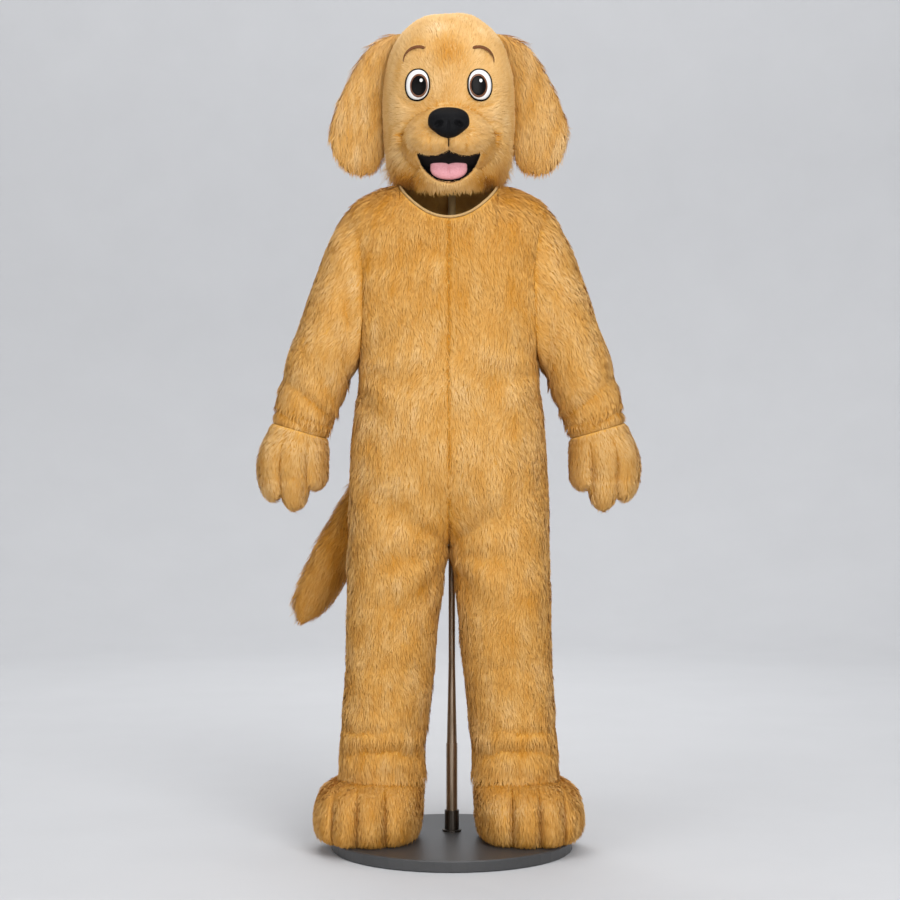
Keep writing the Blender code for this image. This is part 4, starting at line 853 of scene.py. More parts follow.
def mittGrid(inset):
    # superellipse rings drawn in between the fingers, closed below by a dome to each tip
    splits = np.array(mitt["splits"])[::-1]
    steps = np.arange(mitt["fingerPoints"]) / mitt["fingerPoints"]
    x = np.concatenate([a + (b - a) * steps for a, b in zip(splits[:-1], splits[1:])])
    across = (splits[0] - x) / (splits[0] - splits[-1])
    bulge = np.sin(np.pi * np.tile(steps, 3)) ** 0.48
    place = np.concatenate((across, (1.0,), across[:0:-1]))
    lump = np.concatenate((bulge, np.roll(bulge[::-1], 1)))
    front = np.concatenate((-np.ones_like(across), np.ones_like(across)))
    at = np.linspace(0, 4, mitt["rows"])[:, None]
    form = formAt(mittForm, at)
    width = np.hypot(form["outerX"] - form["innerX"], form["outerZ"] - form["innerZ"])
    inset = inset - 0.0022 * easeIn(1 - at / 0.7)
    trim = inset / width
    place = trim + (1 - 2 * trim) * place[None, :]
    share = np.clip((2 * place - 1) / (1 - 2 * trim), -1, 1)
    depth = (form["depth"] - inset) * (1 - np.abs(share) ** mitt["power"]) ** (1 / mitt["power"])
    y = sleeve["y"] + front * depth * (1 - mitt["groove"] * easeIn(at / 4) * (1 - lump))
    x, z = (form["outer" + axis] + (form["inner" + axis] - form["outer" + axis]) * place for axis in "XZ")
    rings = np.stack((x, y, z), axis=-1)
    last = rings[-1]
    middle = last.mean(axis=0)
    scale = np.cos(np.linspace(0, np.pi / 2, mitt["capRows"] + 1)[1:]) ** (2 / mitt["capPower"])
    scale[-1] = 0.02
    cap = middle + (last - middle)[None] * np.stack((scale, scale, np.ones_like(scale)), axis=-1)[:, None]
    drop = np.sqrt(1 - scale ** mitt["capPower"])[:, None]
    cap[..., 2] -= (fingerEnds(cap[..., 0], middle[2]) - mitt["pileDepth"]) * drop
    return np.concatenate((rings, cap))


def mittTone(root):
    # paler by the wrist, deeper at the finger tips
    z = root[:, 2]
    return 0.05 * easeIn((z - 0.86) / 0.05) - 0.05 * easeIn((0.80 - z) / 0.03)


mittFur = {"density": 92000, "length": 0.0140, "width": 0.0022, "rise": 0.0036, "tone": 0.555, "tuft": 0.014,
           "toneAndShadeOf": mittTone}
furredPair("mitt", mittGrid(mitt["pileDepth"]), mittFur, 160, ("last",))


# Boots: four toes each, a round heel and a flat sole.

boot = {"toePoints": 13, "heelPoints": 40, "splits": (0.1388, 0.2011, 0.2567), "toePower": 2.5,
        "groove": 0.034, "rows": 34, "pileDepth": 0.0048, "soleHeight": 0.0262}
# height, inner edge, outer edge, reach to the front and back, how far the toes show
bootForm = tableOf(("height", "inner", "outer", "front", "back", "toes"), (
    (0.1617, 0.0535, 0.2475, 0.098, 0.090, 0.0), (0.150, 0.0535, 0.268, 0.118, 0.096, 0.1),
    (0.130, 0.0540, 0.290, 0.145, 0.104, 0.6), (0.100, 0.0550, 0.302, 0.164, 0.110, 1.0),
    (0.070, 0.0570, 0.3065, 0.172, 0.112, 1.0), (0.046, 0.0610, 0.302, 0.168, 0.110, 1.0),
    (0.032, 0.0680, 0.293, 0.158, 0.104, 0.8), (0.0253, 0.0800, 0.281, 0.144, 0.094, 0.5)))


def bootGrid(inset):
    # level rings: superellipse toes drawn in at their seams in front, half an oval behind
    at = np.linspace(0, 7, boot["rows"])[:, None]
    form = formAt(bootForm, at)
    height = form["height"]
    inset = inset + 0.0050 * easeIn((height - 0.138) / 0.018)
    outer, inner = form["outer"] - inset, form["inner"] + inset
    middle, half = (outer + inner) / 2, (outer - inner) / 2
    power = suit["legPower"] + (boot["toePower"] - suit["legPower"]) * form["toes"]
    lobe = np.tile(np.arange(boot["toePoints"]) / boot["toePoints"], 4)[None]
    which = np.repeat(np.arange(4), boot["toePoints"])
    ends = np.concatenate((form["inner"], np.tile(boot["splits"], (len(at), 1)), form["outer"]), axis=1)
    across = ends[:, which] + (ends[:, which + 1] - ends[:, which]) * lobe
    formMiddle = (form["inner"] + form["outer"]) / 2
    across = middle + (across - formMiddle) * half * 2 / (form["outer"] - form["inner"])
    share = np.clip((across - middle) / half, -1, 1)
    bulge = np.sin(np.pi * lobe) ** 0.44
    roundFront = (1 - np.abs(share) ** power) ** (1 / power)
    front = form["front"] - inset - boot["groove"] * form["toes"] * (1 - bulge) * easeIn(roundFront * 1.5)
    turn = np.linspace(0, -np.pi, boot["heelPoints"], endpoint=False)[None]
    x = middle + half * signedPower(np.cos(turn), 2 / suit["legPower"])
    y = -(form["back"] - inset) * signedPower(np.sin(turn), 2 / suit["legPower"])
    x, y = np.concatenate((across, x), axis=1), np.concatenate((-front * roundFront, y), axis=1)
    return np.stack(np.broadcast_arrays(x, y, np.maximum(height, boot["soleHeight"])), axis=-1)


def bootToneAndShade(root):
    # toes are paler on top; painted shade darkens the pile in the ankle fold under the hem and down by the
    # sole
    z = root[:, 2]
    fold, soleShade = easeIn((z - 0.150) / 0.009), easeIn((0.060 - z) / 0.03)
    return 0.08 * bell((z - 0.105) / 0.03) - 0.22 * fold - 0.08 * soleShade


bootFur = {"density": 82000, "length": 0.0150, "width": 0.0022, "rise": 0.0042, "tone": 0.41, "tuft": 0.015,
           "toneAndShadeOf": bootToneAndShade, "scale": lambda root: np.where(root[:, 2] < 0.042, 0.60, 1.0)}
furredPair("boot", bootGrid(boot["pileDepth"]), bootFur, 180, ("last",))


# The tail: stuffed, from the middle of the seat down to one side, with a long coat.

tail = {"tip": (-0.350, 0.208, 0.490), "tipRadius": 0.012, "rows": 46, "columns": 30, "pileDepth": 0.010}
tailForm = tableOf(("x", "y", "z", "radius"), (
    (0.000, 0.152, 0.915, 0.036), (-0.045, 0.187, 0.922, 0.044), (-0.115, 0.218, 0.880, 0.053),
    (-0.181, 0.226, 0.798, 0.060), (-0.2475, 0.222, 0.685, 0.062), (-0.296, 0.216, 0.594, 0.058),
    (-0.330, 0.211, 0.529, 0.047), (*tail["tip"], tail["tipRadius"])))


def tailGrid(inset):
    # round sections across a smooth path; the first lies against the seat
    at = np.linspace(0, 7, tail["rows"])
    form = formAt(tailForm, at)
    path = np.stack([form[axis] for axis in "xyz"], axis=-1)
    less = inset * easeIn(at / 1.5) * (1 - 0.6 * easeIn((at - 5.5) / 1.5))
    radius = np.maximum(form["radius"] - less, 0.0015)[:, None, None]
    first = easeIn(1 - at / 0.8)[:, None]
    heading = unit(unit(np.gradient(path, axis=0)) * (1 - first) + np.array((0.0, 1.0, 0.0)) * first)
    aside = unit(np.cross(heading, (0.0, 0.35, 1.0)))
    above = np.cross(aside, heading)
    turn = turnsOf(tail["columns"])[None, :, None]
    rings = path[:, None] + radius * (aside[:, None] * np.cos(turn) + 0.85 * above[:, None] * np.sin(turn))
    seat, power = rings[0], suit["bodyPower"]
    outer = curveThrough(suitForm["height"], suitForm["outer"], seat[:, 2])
    depth = curveThrough(suitForm["height"], suitForm["back"], seat[:, 2])
    seatY = depth * (1 - (np.abs(seat[:, 0]) / outer) ** power) ** (1 / power)
    rings[:, :, 1] += (seatY + 3 * suit["seam"] - seat[:, 1])[None] * first
    return rings


tailFur = {"density": 54000, "length": 0.034, "width": 0.0020, "rise": 0.0085, "tone": 0.29, "tuft": 0.022,
           "swing": 0.14, "scale": lambda root: 1 - 0.62 * easeIn((0.575 - root[:, 2]) / 0.07),
           "flare": lambda root: 0.14 + 0.40 * easeIn((0.56 - root[:, 2]) / 0.05),
           "toneAndShadeOf": lambda root: 0.10 * easeIn((0.75 - root[:, 2]) / 0.22) + 0.04 * ripple(root, 0.03, 77)}
tailShell, pile = furred("tail", suitSide(tailGrid(tail["pileDepth"]), 1), suitPile, tailFur, 200,
                         thick=0.0015, ends=("first", "last"))
print("tail done:", furCount[0], "strands")


# The head: a rounded foam shell under short fur, with a muzzle, cheeks and an open mouth.

head = {
    "middle": (0.0, 0.005, 1.6575), "half": (0.1490, 0.150, 0.2195), "power": 2.5,
    "rimMiddle": 1.500, "rimTilt": 0.036, "columns": 132, "rows": 104, "pileDepth": 0.0038,
    "smile": (0.070, 1.5440), "mouthLow": 1.4800, "mouthTop": 1.5450, "padDrop": 0.0105, "mouthDepth": 0.034,
}
socket = {"x": 0.0685, "z": 1.694, "halfX": 0.040, "halfZ": 0.046}
# bumps on the face: centre, half sizes, height and the power of the dome
faceBumps = tableOf(("x", "z", "halfX", "halfZ", "height", "power"), (
    (0.000, 1.5700, 0.100, 0.074, 0.074, 0.60), (-0.043, 1.5580, 0.054, 0.040, 0.010, 0.9),
    (0.043, 1.5580, 0.054, 0.040, 0.010, 0.9), (0.000, 1.4860, 0.078, 0.056, 0.056, 0.60),
    (-0.095, 1.5450, 0.060, 0.070, 0.016, 1.2), (0.095, 1.5450, 0.060, 0.070, 0.016, 1.2)))
smile = {"x": 0.043, "z": 1.590, "radius": 0.0575, "width": 0.0062, "dimple": (0.0995, 1.5885)}


def mouthLine(x):
    # the upper lip: two pads that hang from the notch in the middle
    share = np.clip(np.abs(x) / head["smile"][0], 0, 1)
    base = head["mouthTop"] + (head["smile"][1] - head["mouthTop"]) * share
    return base - head["padDrop"] * np.sin(np.pi * share) ** 0.8


def mouthFloor(x):
    # the lower lip: a deep round curve
    share = np.clip(np.abs(x) / head["smile"][0], 0, 1)
    return head["smile"][1] - (head["smile"][1] - head["mouthLow"]) * (1 - share ** 2.2) ** 0.75


def betweenLips(x, z):
    return np.minimum(mouthLine(x) - z, z - mouthFloor(x))


def mouthInside(x, z):
    # how far inside the lips a place is, in metres
    return np.where(np.abs(x) < head["smile"][0], betweenLips(x, z), -1.0)


def smileCrease(x, z):
    # the fold round the outside of each lip pad, deepest at its upper end
    x = np.abs(x)
    away = np.hypot(x - smile["x"], z - smile["z"]) - smile["radius"]
    turn = np.degrees(np.arctan2(z - smile["z"], x - smile["x"]))
    along = easeIn((turn + 74) / 16) * easeIn((8 - turn) / 12) * (0.55 + 0.45 * easeIn((turn + 40) / 34))
    dimple = bell((x - smile["dimple"][0]) / 0.0075, (z - smile["dimple"][1]) / 0.0065)
    return np.maximum(bell(away / smile["width"]) * along, 1.35 * dimple)


def faceRelief(x, z):
    # domes (1 - r^2)^power added up, less the mouth's hollow, the groove under the nose, the
    # eye sockets and the creases that run up from the corners of the mouth
    bumps = []
    for bump in rowsOf(faceBumps):
        away = superSum(fromCentre(x, z, bump), 2)
        bumps.append(bump["height"] * np.clip(1 - away, 0, 1) ** bump["power"])
    muzzle, padLeft, padRight, jaw, cheekLeft, cheekRight = bumps
    relief = np.maximum(muzzle + np.maximum(padLeft, padRight), jaw) + cheekLeft + cheekRight
    groove = bell(x / 0.0035) * easeIn((z - 1.538) / 0.008) * easeIn((1.585 - z) / 0.01)
    hollow = easeIn((betweenLips(x, z) + 0.004) / 0.012)
    x = np.abs(x)
    relief = relief - head["mouthDepth"] * hollow * easeIn((head["smile"][0] + 0.006 - x) / 0.02)
    pads = bell((mouthLine(x) + 0.016 - z) / 0.013) * easeIn((0.074 - x) / 0.03)
    fromEye = np.hypot(*fromCentre(x, z, socket))
    lid = bell((fromEye - 1.0) / 0.13) * easeIn((1.690 - z) / 0.02) * easeIn((x - 0.022) / 0.02)
    dip = 0.0050 * np.clip(1 - (fromEye / 1.5) ** 2, 0, 1)
    relief = relief - 0.0050 * groove - 0.0075 * smileCrease(x, z) + 0.0050 * pads * easeIn(x / 0.02)
    return relief - 0.0028 * lid - dip


def headGrid(inset):
    # a superellipsoid from the crown to the neck hole; the relief pushes its front out along -Y
    power = head["power"]
    turn = turnsOf(head["columns"])[None]
    turn = turn - 0.55 * np.sin(turn)
    half = np.array(head["half"]) - inset
    rim = head["rimMiddle"] - head["rimTilt"] * np.cos(turn)
    share = np.clip((head["middle"][2] - rim) / half[2], -1, 1)
    last = np.pi - np.arcsin(np.clip((1 - share ** power) ** 0.5, 0, 1))
    step = np.linspace(0.012, 1.0, head["rows"])[:, None]
    polar = last * (step + 0.030 * np.sin(2 * np.pi * step))
    flat = signedPower(np.sin(polar), 2 / power)
    x = half[0] * flat * signedPower(np.sin(turn), 2 / power)
    y = -half[1] * flat * signedPower(np.cos(turn), 2 / power)
    z = head["middle"][2] + half[2] * signedPower(np.cos(polar), 2 / power)
    front = easeIn(-y / (0.25 * half[1]))
    behindLining = 0.0045 * easeIn((mouthInside(x, z) - 0.001) / 0.004)
    y = y + head["middle"][1] - (faceRelief(x, z) - behindLining) * front
    grid = np.stack((x, y, z), axis=-1)
    soft = 0.0012 * ripple(grid, 0.09, 51) * easeIn((z - 1.60) / 0.04)
    return grid + smoothNormals(grid) * soft[..., None]


def faceY(x, z):
    # the cloth's own surface in front, under the pile
    half, power = np.array(head["half"]) - head["pileDepth"], head["power"]
    left = 1 - superSum((x / half[0], (z - head["middle"][2]) / half[2]), power)
    return head["middle"][1] - half[1] * np.clip(left, 0, 1) ** (1 / power) - faceRelief(x, z)


def foremost(x, z, reach):
    # the face's surface raised to its foremost place within reach
    around = [(share * math.cos(turn), share * math.sin(turn))
              for share in (0.5, 1.0) for turn in turnsOf(8)] + [(0, 0)]
    return np.min([faceY(x + reach * a, z + reach * b) for a, b in around], axis=0)


# the eye and its rim, iris and pupil, and the place and size of its painted highlight
eye = {"x": 0.0685, "z": 1.6957, "halfX": 0.0250, "halfZ": 0.0330, "power": 2.2, "thick": 0.0070,
       "irisX": -0.0032, "irisZ": -0.0030, "irisHalf": (0.0197, 0.0262), "pupilHalf": (0.0166, 0.0218),
       "highlightX": 0.0050, "highlightZ": 0.0110, "highlightHalf": (0.0034, 0.0038), "rim": 0.0030}
noseShape = {"x": 0.0, "z": 1.6000, "halfX": 0.0448, "halfZ": 0.0341, "thick": 0.0280, "power": 2.5,
             "gap": 0.0011, "taper": 0.34}
nostril = {"x": 0.0225, "z": -0.0075, "halfX": 0.0085, "halfZ": 0.0062}
brow = {"x": 0.0690, "z": 1.7520, "halfX": 0.0310, "halfZ": 0.0290, "turn": (-5, 122), "width": 0.0075,
        "thick": 0.0035, "points": 34}


def outsideFace(root):
    # no pile in the mouth or under the eyes, the nose and the brows
    x, y, z = placeOf(root)
    side = np.abs(x)
    inEye = np.hypot(*fromCentre(side, z, eye, 0.0012)) < 1
    inNose = np.hypot(*fromCentre(x, z, noseShape)) < 0.86
    browX, browZ = fromCentre(side, z, brow)
    arc = np.degrees(np.arctan2(browZ, browX))
    inBrow = np.abs(np.hypot(browX, browZ) - 1) * brow["halfX"] < 0.0040
    inBrow = inBrow & (arc > brow["turn"][0]) & (arc < brow["turn"][1])
    return ~((inEye | inNose | inBrow | (mouthInside(x, z) > 0.0005)) & (y < -0.06))


def headLay(root, lay):
    # the pile is brushed away from the nose, over the forehead and cheeks, and down behind
    x, y, z = placeOf(root)
    away = unit(root - np.array((suit["aside"], -0.235, 1.603)))
    behind = easeIn((y + 0.02) / 0.10)[:, None]
    low = easeIn((1.56 - z) / 0.06)[:, None]
    down = np.array((0.0, 0.0, -1.0))
    field = away * (1 - behind) + (lay * 0.7 + down * 0.5 + away * 0.3) * behind
    aside = np.sign(x)[:, None] * np.array((1.0, 0.0, 0.0))
    jaw = (easeIn((1.59 - z) / 0.05) * easeIn((np.abs(x) - 0.075) / 0.03))[:, None]
    return unit(field + down * (0.55 * low + 0.9 * jaw) + aside * 0.60 * jaw)


def headScale(root):
    # short round the eyes, nose and lips, longer on the cheeks and the jaw's sides
    x, y, z = placeOf(root)
    side, front = np.abs(x), y < -0.06
    nearEye, nearNose = (bell(np.clip(np.hypot(*fromCentre(side, z, form)) - 1, 0, 9) / 0.5)
                         for form in (eye, noseShape))
    nearLip = 1.4 * bell(mouthInside(x, z) / 0.011)
    near = np.maximum(nearEye, np.maximum(nearLip, nearNose)) * front
    cheek = easeIn((side - 0.082) / 0.04) * easeIn((1.60 - z) / 0.06) * (y < 0.09)
    return 1.0 - 0.50 * near + 1.9 * cheek + easeIn((1.50 - z) / 0.03) * 0.5


def jawSide(root):
    # 1 on the fluffy sides of the jaw and cheeks, 0 elsewhere
    x, z = placeOf(root)[::2]
    return easeIn((1.59 - z) / 0.06) * easeIn((np.abs(x) - 0.085) / 0.035)


# patches of dye and of painted shade, on both sides alike: centre, reach across and up, how much paler,
# sharpness, and the depth that they end at. Forehead, muzzle, chin and cheeks are dye; under the jaw is
# painted shade.
dyeAndShadePatches = tableOf(("x", "z", "halfX", "halfZ", "paler", "power", "before"), (
    (0.000, 1.756, 0.036, 0.030, -0.36, 2.4, 0.0), (0.000, 1.600, 0.075, 0.050, -0.20, 2.0, -0.08),
    (0.000, 1.482, 0.062, 0.020, 0.14, 2.0, -0.06), (0.098, 1.640, 0.030, 0.045, 0.10, 2.0, 0.0),
    (0.088, 1.490, 0.032, 0.017, -0.42, 2.0, 1.0)))


def headToneAndShade(root):
    # the dye patches, with a paler crown, painted shade under the jaw and in the smile creases, and darker
    # sides and back
    x, y, z = placeOf(root)
    side = np.abs(x)
    tone = 0.06 * easeIn((z - 1.79) / 0.05)
    for patch in rowsOf(dyeAndShadePatches):
        shares = superSum(fromCentre(side, z, patch), patch["power"])
        tone = tone + patch["paler"] * np.exp(-shares) * (y < patch["before"])
    # painted shade under the jaw and on its sides
    jaw = 0.26 * easeIn((1.555 - z) / 0.05) * easeIn((side - 0.045) / 0.04) + 0.12 * easeIn((1.52 - z) / 0.05)
    flank = 0.08 * easeIn((side - 0.10) / 0.04) + 0.06 * easeIn(y / 0.05)
    return tone - jaw - flank - 0.34 * smileCrease(x, z) * (y < -0.05)


headFur = {"density": 106000, "length": 0.0120, "width": 0.0018, "rise": 0.0036, "tone": 0.660, "tuft": 0.013,
           "swing": 0.16, "mixed": 0.022, "locks": 1.1, "keep": outsideFace, "lay": headLay,
           "scale": headScale, "toneAndShadeOf": headToneAndShade, "raised": lambda root: 1 + 0.9 * jawSide(root),
           "flare": lambda root: 0.06 + 0.48 * jawSide(root)}
grid = suitSide(headGrid(head["pileDepth"]), 1)
headShell, pile = furred("head", grid, headPile, headFur, 210, node="head_shell", body="head",
                         thick=0.003, ends=("first",))
print("head done:", furCount[0], "strands")


# Ears: flat soft lobes that hang from the sides of the head, with a long silky coat.

ear = {"y": 0.004, "pileDepth": 0.0075, "rows": 52, "columns": 44, "drop": 0.006, "top": 1.835,
       "topEnd": 1.826, "low": 1.529, "roundFrom": 1.806}
# height, gap from the head's side, outer edge and half depth, from the lowest up
earForm = tableOf(("height", "away", "outer", "depth"), (
    (1.519, 0.0480, 0.2230, 0.0110), (1.540, 0.0260, 0.2440, 0.0185), (1.575, 0.0060, 0.2650, 0.0220),
    (1.618, 0.0008, 0.2724, 0.0230), (1.663, 0.0008, 0.2611, 0.0230), (1.699, 0.0008, 0.2476, 0.0225),
    (1.735, 0.0008, 0.2295, 0.0220), (1.771, 0.0008, 0.2092, 0.0210), (1.800, 0.0020, 0.1880, 0.0190),
    (1.824, 0.0040, 0.1640, 0.0150), (1.838, 0.0060, 0.1420, 0.0090), (1.848, 0.0130, 0.1170, 0.0030)))


def earGrid(inset):
    # flat level ovals from the crown side down to a round tip, waved a little front to back
    height = np.concatenate((np.linspace(ear["top"], ear["topEnd"], 6)[:-1],
                             np.linspace(ear["topEnd"], ear["low"], ear["rows"])))[:, None]
    form = {name: curveThrough(earForm["height"], column, height) for name, column in earForm.items()}
    level = np.abs((height - head["middle"][2]) / head["half"][2])
    inner = head["half"][0] * (1 - level ** head["power"]) ** (1 / head["power"]) + form["away"] - 0.0030
    top = np.clip((height - ear["roundFrom"]) / (ear["top"] + 0.0002 - ear["roundFrom"]), 0, 1)
    outer = inner + (form["outer"] - inset - inner) * np.sqrt(1 - 0.97 * top ** 2)
    middle, half = (outer + inner) / 2, (outer - inner) / 2
    turn = turnsOf(ear["columns"])[None]
    depth = np.maximum(form["depth"] - inset, 0.003)
    x = middle + half * signedPower(np.cos(turn), 0.85)
    wave = 0.0040 * np.sin((x - middle) / 0.030 + 1.1) * easeIn((1.80 - height) / 0.1)
    y = ear["y"] - depth * signedPower(np.sin(turn), 0.85) + wave
    grid = np.stack(np.broadcast_arrays(x, y, height), axis=-1)
    tip = np.array((middle[-1, 0], ear["y"], height[-1, 0] - ear["drop"]))
    return np.concatenate((grid, (grid[-1] * 0.45 + tip * 0.55)[None]))


def earLay(root, lay):
    # down, spreading away from the head as it goes
    side = np.sign(placeOf(root)[0])[:, None]
    return unit(lay * 0.35 + side * np.array((0.10, 0.0, 0.0)) + np.array((0.0, 0.0, -0.65)))


def earToneAndShade(root):
    # silky light and dark locks, painted shade where the ear lies against the head, and darker towards its
    # tip
    x, z = placeOf(root)[::2]
    x = np.abs(x)
    locks = np.sin(x / 0.0065 + 3.0 * ripple(root * (1, 1, 0.3), 0.10, 61))
    shadeByHead = 0.12 * bell((x - 0.150) / 0.022) * easeIn((1.80 - z) / 0.1)
    return 0.055 * locks - shadeByHead - 0.05 * easeIn((1.60 - z) / 0.08)


earFur = {"density": 78000, "length": 0.030, "width": 0.0019, "rise": 0.0046, "tone": 0.57, "tuft": 0.020,
          "swing": 0.10, "lay": earLay, "toneAndShadeOf": earToneAndShade, "flare": lambda root: np.full(len(root), 0.16),
          "scale": lambda root: 1 - 0.35 * easeIn((1.58 - root[:, 2]) / 0.05)}
earRings = earGrid(ear["pileDepth"])
for side, word in sides:
    lobe, pile = furred(f"ear_{word}", suitSide(earRings, side), headPile, earFur, 230 + side, body="head",
                        inside=headPile, thick=0.0015, ends=("first", "last"))
print("ears done:", furCount[0], "strands")


# The face's own pieces.

def patchGrid(middleX, middleZ, halfX, halfZ, power, rows, columns, inner=0.0):
    # x and z of rings round a superellipse, with each ring's share of the way out and its turns
    turn = turnsOf(columns)[None]
    share = np.linspace(inner, 1.0, rows)[:, None]
    x = middleX + halfX * share * signedPower(np.cos(turn), 2 / power)
    z = middleZ + halfZ * share * signedPower(np.sin(turn), 2 / power)
    return x, z, share, turn


def costumePoints(x, y, z):
    return np.stack(np.broadcast_arrays(x + suit["aside"], y, z), axis=-1)


def onSkin(x, z, lift):
    return costumePoints(x, foremost(x, z, 0.002) - lift, z)


def facePiece(name, grid, material, node=None, backing=0.004):
    # a domed patch whose edge turns back to the face; its middle and its back are closed
    rim = grid[-1:] + (0.0, backing, 0.0)
    middle = rim.mean(axis=1, keepdims=True)
    whole = np.concatenate((grid, rim, middle + (rim - middle) * 0.5))
    normal = np.cross(whole[1, 1] - whole[0, 0], whole[1, 0] - whole[0, 1])
    return solidOn(name, whole, material, node, flip=normal[1] > 0)


def cushion(thick, fullness):
    # a low dome over a patch, upright at its edge
    return thick * (0.12 + 0.88 * np.sqrt(np.clip(fullness, 0, 1)))


for side, word in sides:
    x0, z0 = side * eye["x"], eye["z"]

    def eyeDome(x, z):
        return 0.0042 + cushion(eye["thick"], 1 - superSum(fromCentre(side * x, z, eye), eye["power"]))

    x, z = patchGrid(x0, z0, eye["halfX"], eye["halfZ"], eye["power"], 14, 40, 0.04)[:2]
    facePiece(f"eye_{word}_white", onSkin(x, z, eyeDome(x, z)), eyeWhite, f"eye_{word}", 0.008)
    inner = 0.92
    x, z, share = patchGrid(x0, z0, eye["halfX"] + eye["rim"], eye["halfZ"] + eye["rim"], eye["power"],
                            3, 48, inner)[:3]
    lift = 0.0046 + 0.0008 * np.sin(np.pi * (share - inner) / (1 - inner))
    facePiece(f"eye_{word}_rim", onSkin(x, z, lift), eyeBlack, None, 0.008)
    irisX, irisZ = x0 + side * eye["irisX"], z0 + eye["irisZ"]
    # the iris, the pupil, and a white dot of painted highlight on the pupil
    layers = (("iris", irisX, irisZ, eye["irisHalf"], eyeBrown, "brow_brown", 0.0004),
              ("pupil", irisX, irisZ, eye["pupilHalf"], eyeBlack, "nose_black", 0.0008),
              ("light", irisX + eye["highlightX"], irisZ + eye["highlightZ"], eye["highlightHalf"], eyeWhite, "eye_white",
               0.0012))
    for label, atX, atZ, half, material, slot, lift in layers:
        x, z = patchGrid(atX, atZ, *half, 2.0, 9, 36, 0.04)[:2]
        facePiece(f"eye_{word}_{label}", onSkin(x, z, eyeDome(x, z) + lift), material, None, 0.002)

for side, word in sides:
    # a tapered arc with a rounded section: along it runs the angle, round it the section
    along = np.radians(np.linspace(*brow["turn"], brow["points"]))[:, None]
    section = turnsOf(12)[None]
    place = np.linspace(0, 1, brow["points"])[:, None]
    ends = np.sqrt(np.clip(1 - np.linspace(-1, 1, brow["points"])[:, None] ** 16, 0.05, 1))
    width = brow["width"] / 2 * (0.22 + 0.78 * easeIn(place * 1.6)) * ends
    x = side * (brow["x"] + (brow["halfX"] + width * np.cos(section)) * np.cos(along))
    z = brow["z"] + (brow["halfZ"] + width * np.cos(section)) * np.sin(along)
    solidOn(f"brow_{word}_felt", onSkin(x, z, 0.0050 + brow["thick"] * 0.5 * np.sin(section)), browBrown,
            f"brow_{word}")


def noseGrid():
    # a dome that narrows below, with a nostril pressed in on each side and a groove between
    nose = noseShape
    x, z, share = patchGrid(0.0, 0.0, nose["halfX"], nose["halfZ"], nose["power"], 40, 88, 0.02)[:3]
    x = x * (1 - nose["taper"] * easeIn(-z / nose["halfZ"]) + 0.03 * easeIn(z / nose["halfZ"]))
    dome = cushion(nose["thick"], 1 - share ** 2.4)
    bridge = 0.0040 * bell((z - 0.014) / 0.012) * np.clip(1 - share ** 2, 0, 1)
    slant = 0.25 * (np.abs(x) - nostril["x"])
    away = superSum(fromCentre(np.abs(x), z + slant, nostril), 2)
    pressed = 0.0105 * np.exp(-away ** 1.3)
    wing = 0.0022 * np.exp(-(away - 1.9) ** 2 / 0.8)
    groove = 0.0028 * bell(x / 0.0022) * easeIn((0.004 - z) / 0.012)
    z = z + nose["z"]
    base = foremost(x, z, 0.006) - nose["gap"] - 0.0030
    base = base * 0.55 + base.mean() * 0.45
    return costumePoints(x, base - dome - bridge - wing + pressed + groove, z)


facePiece("nose_moulded", noseGrid(), noseBlack, "nose", 0.010)

# the lip line from the nose down to the notch of the mouth
groove = {"top": 1.5655, "low": 1.5490, "radius": 0.0010}
z = np.linspace(groove["top"], groove["low"], 12)[:, None]
section = turnsOf(8)[None]
y = faceY(0.0, z) - 0.0040 - groove["radius"] * np.sin(section)
solidOn("lip_line", costumePoints(groove["radius"] * np.cos(section), y, z), blackFelt)


def mouthGrid(rows=22, columns=60):
    # the mouth's bowl: it follows the hollow and comes forward to the lips at its edge
    x = np.linspace(-0.985, 0.985, columns)[None] * head["smile"][0]
    top, low = mouthLine(x) + 0.0002, mouthFloor(x) - 0.0002
    z = top + (low - top) * np.linspace(0, 1, rows)[:, None]
    return costumePoints(x, faceY(x, z) - 0.0012 + 0.0036 * easeIn((0.0024 - betweenLips(x, z)) / 0.0028), z)


grid = mouthGrid()
mouth = clothShell("mouth_felt", grid, blackFelt, blackFelt, False, thick=0.001)
settle(mouth, "head", "mouth_lining")

tongue = {"z": 1.5125, "halfX": 0.0405, "halfZ": 0.0255, "thick": 0.0120, "power": 2.2, "flatTop": 0.84,
          "topPower": 4.2}
# a round lower half, and an upper half that is nearly flat across the top
lower, upper = (patchGrid(0.0, tongue["z"], tongue["halfX"], halfZ, power, 20, 60, 0.03) for halfZ, power in (
    (tongue["halfZ"], tongue["power"]), (tongue["halfZ"] * tongue["flatTop"], tongue["topPower"])))
x, z, share, turn = lower
x, z = (np.where(np.sin(turn) > 0, high, low) for high, low in zip(upper, (x, z)))
middleGroove = 0.0030 * bell(x / 0.0022) * np.clip(1 - share ** 2, 0, 1)
bulge = 0.0012 * np.sin(np.pi * np.clip(np.abs(x) / tongue["halfX"], 0, 1))
floor = foremost(x, np.minimum(z, mouthLine(x) - 0.006), 0.003)
floor = 0.2 * floor + 0.8 * floor.mean()
back = 0.0085 * easeIn((z - 1.500) / 0.034)      # it falls away towards the throat
y = floor - cushion(tongue["thick"], 1 - share ** 2.4) - bulge + back + middleGroove
tonguePiece = facePiece("tongue_felt", costumePoints(x, y, z), tongueFelt, "tongue", 0.002)
print("face done")


# The neckline's rolled binding, with its stitches, and the tape and teeth of the back zip.

binding = {"radius": 0.0030, "neckMiddle": (0.0, -0.020, 1.600), "points": 200, "section": 14, "swells": 25,
           "stitch": (0.0016, 0.0004, 0.0003)}


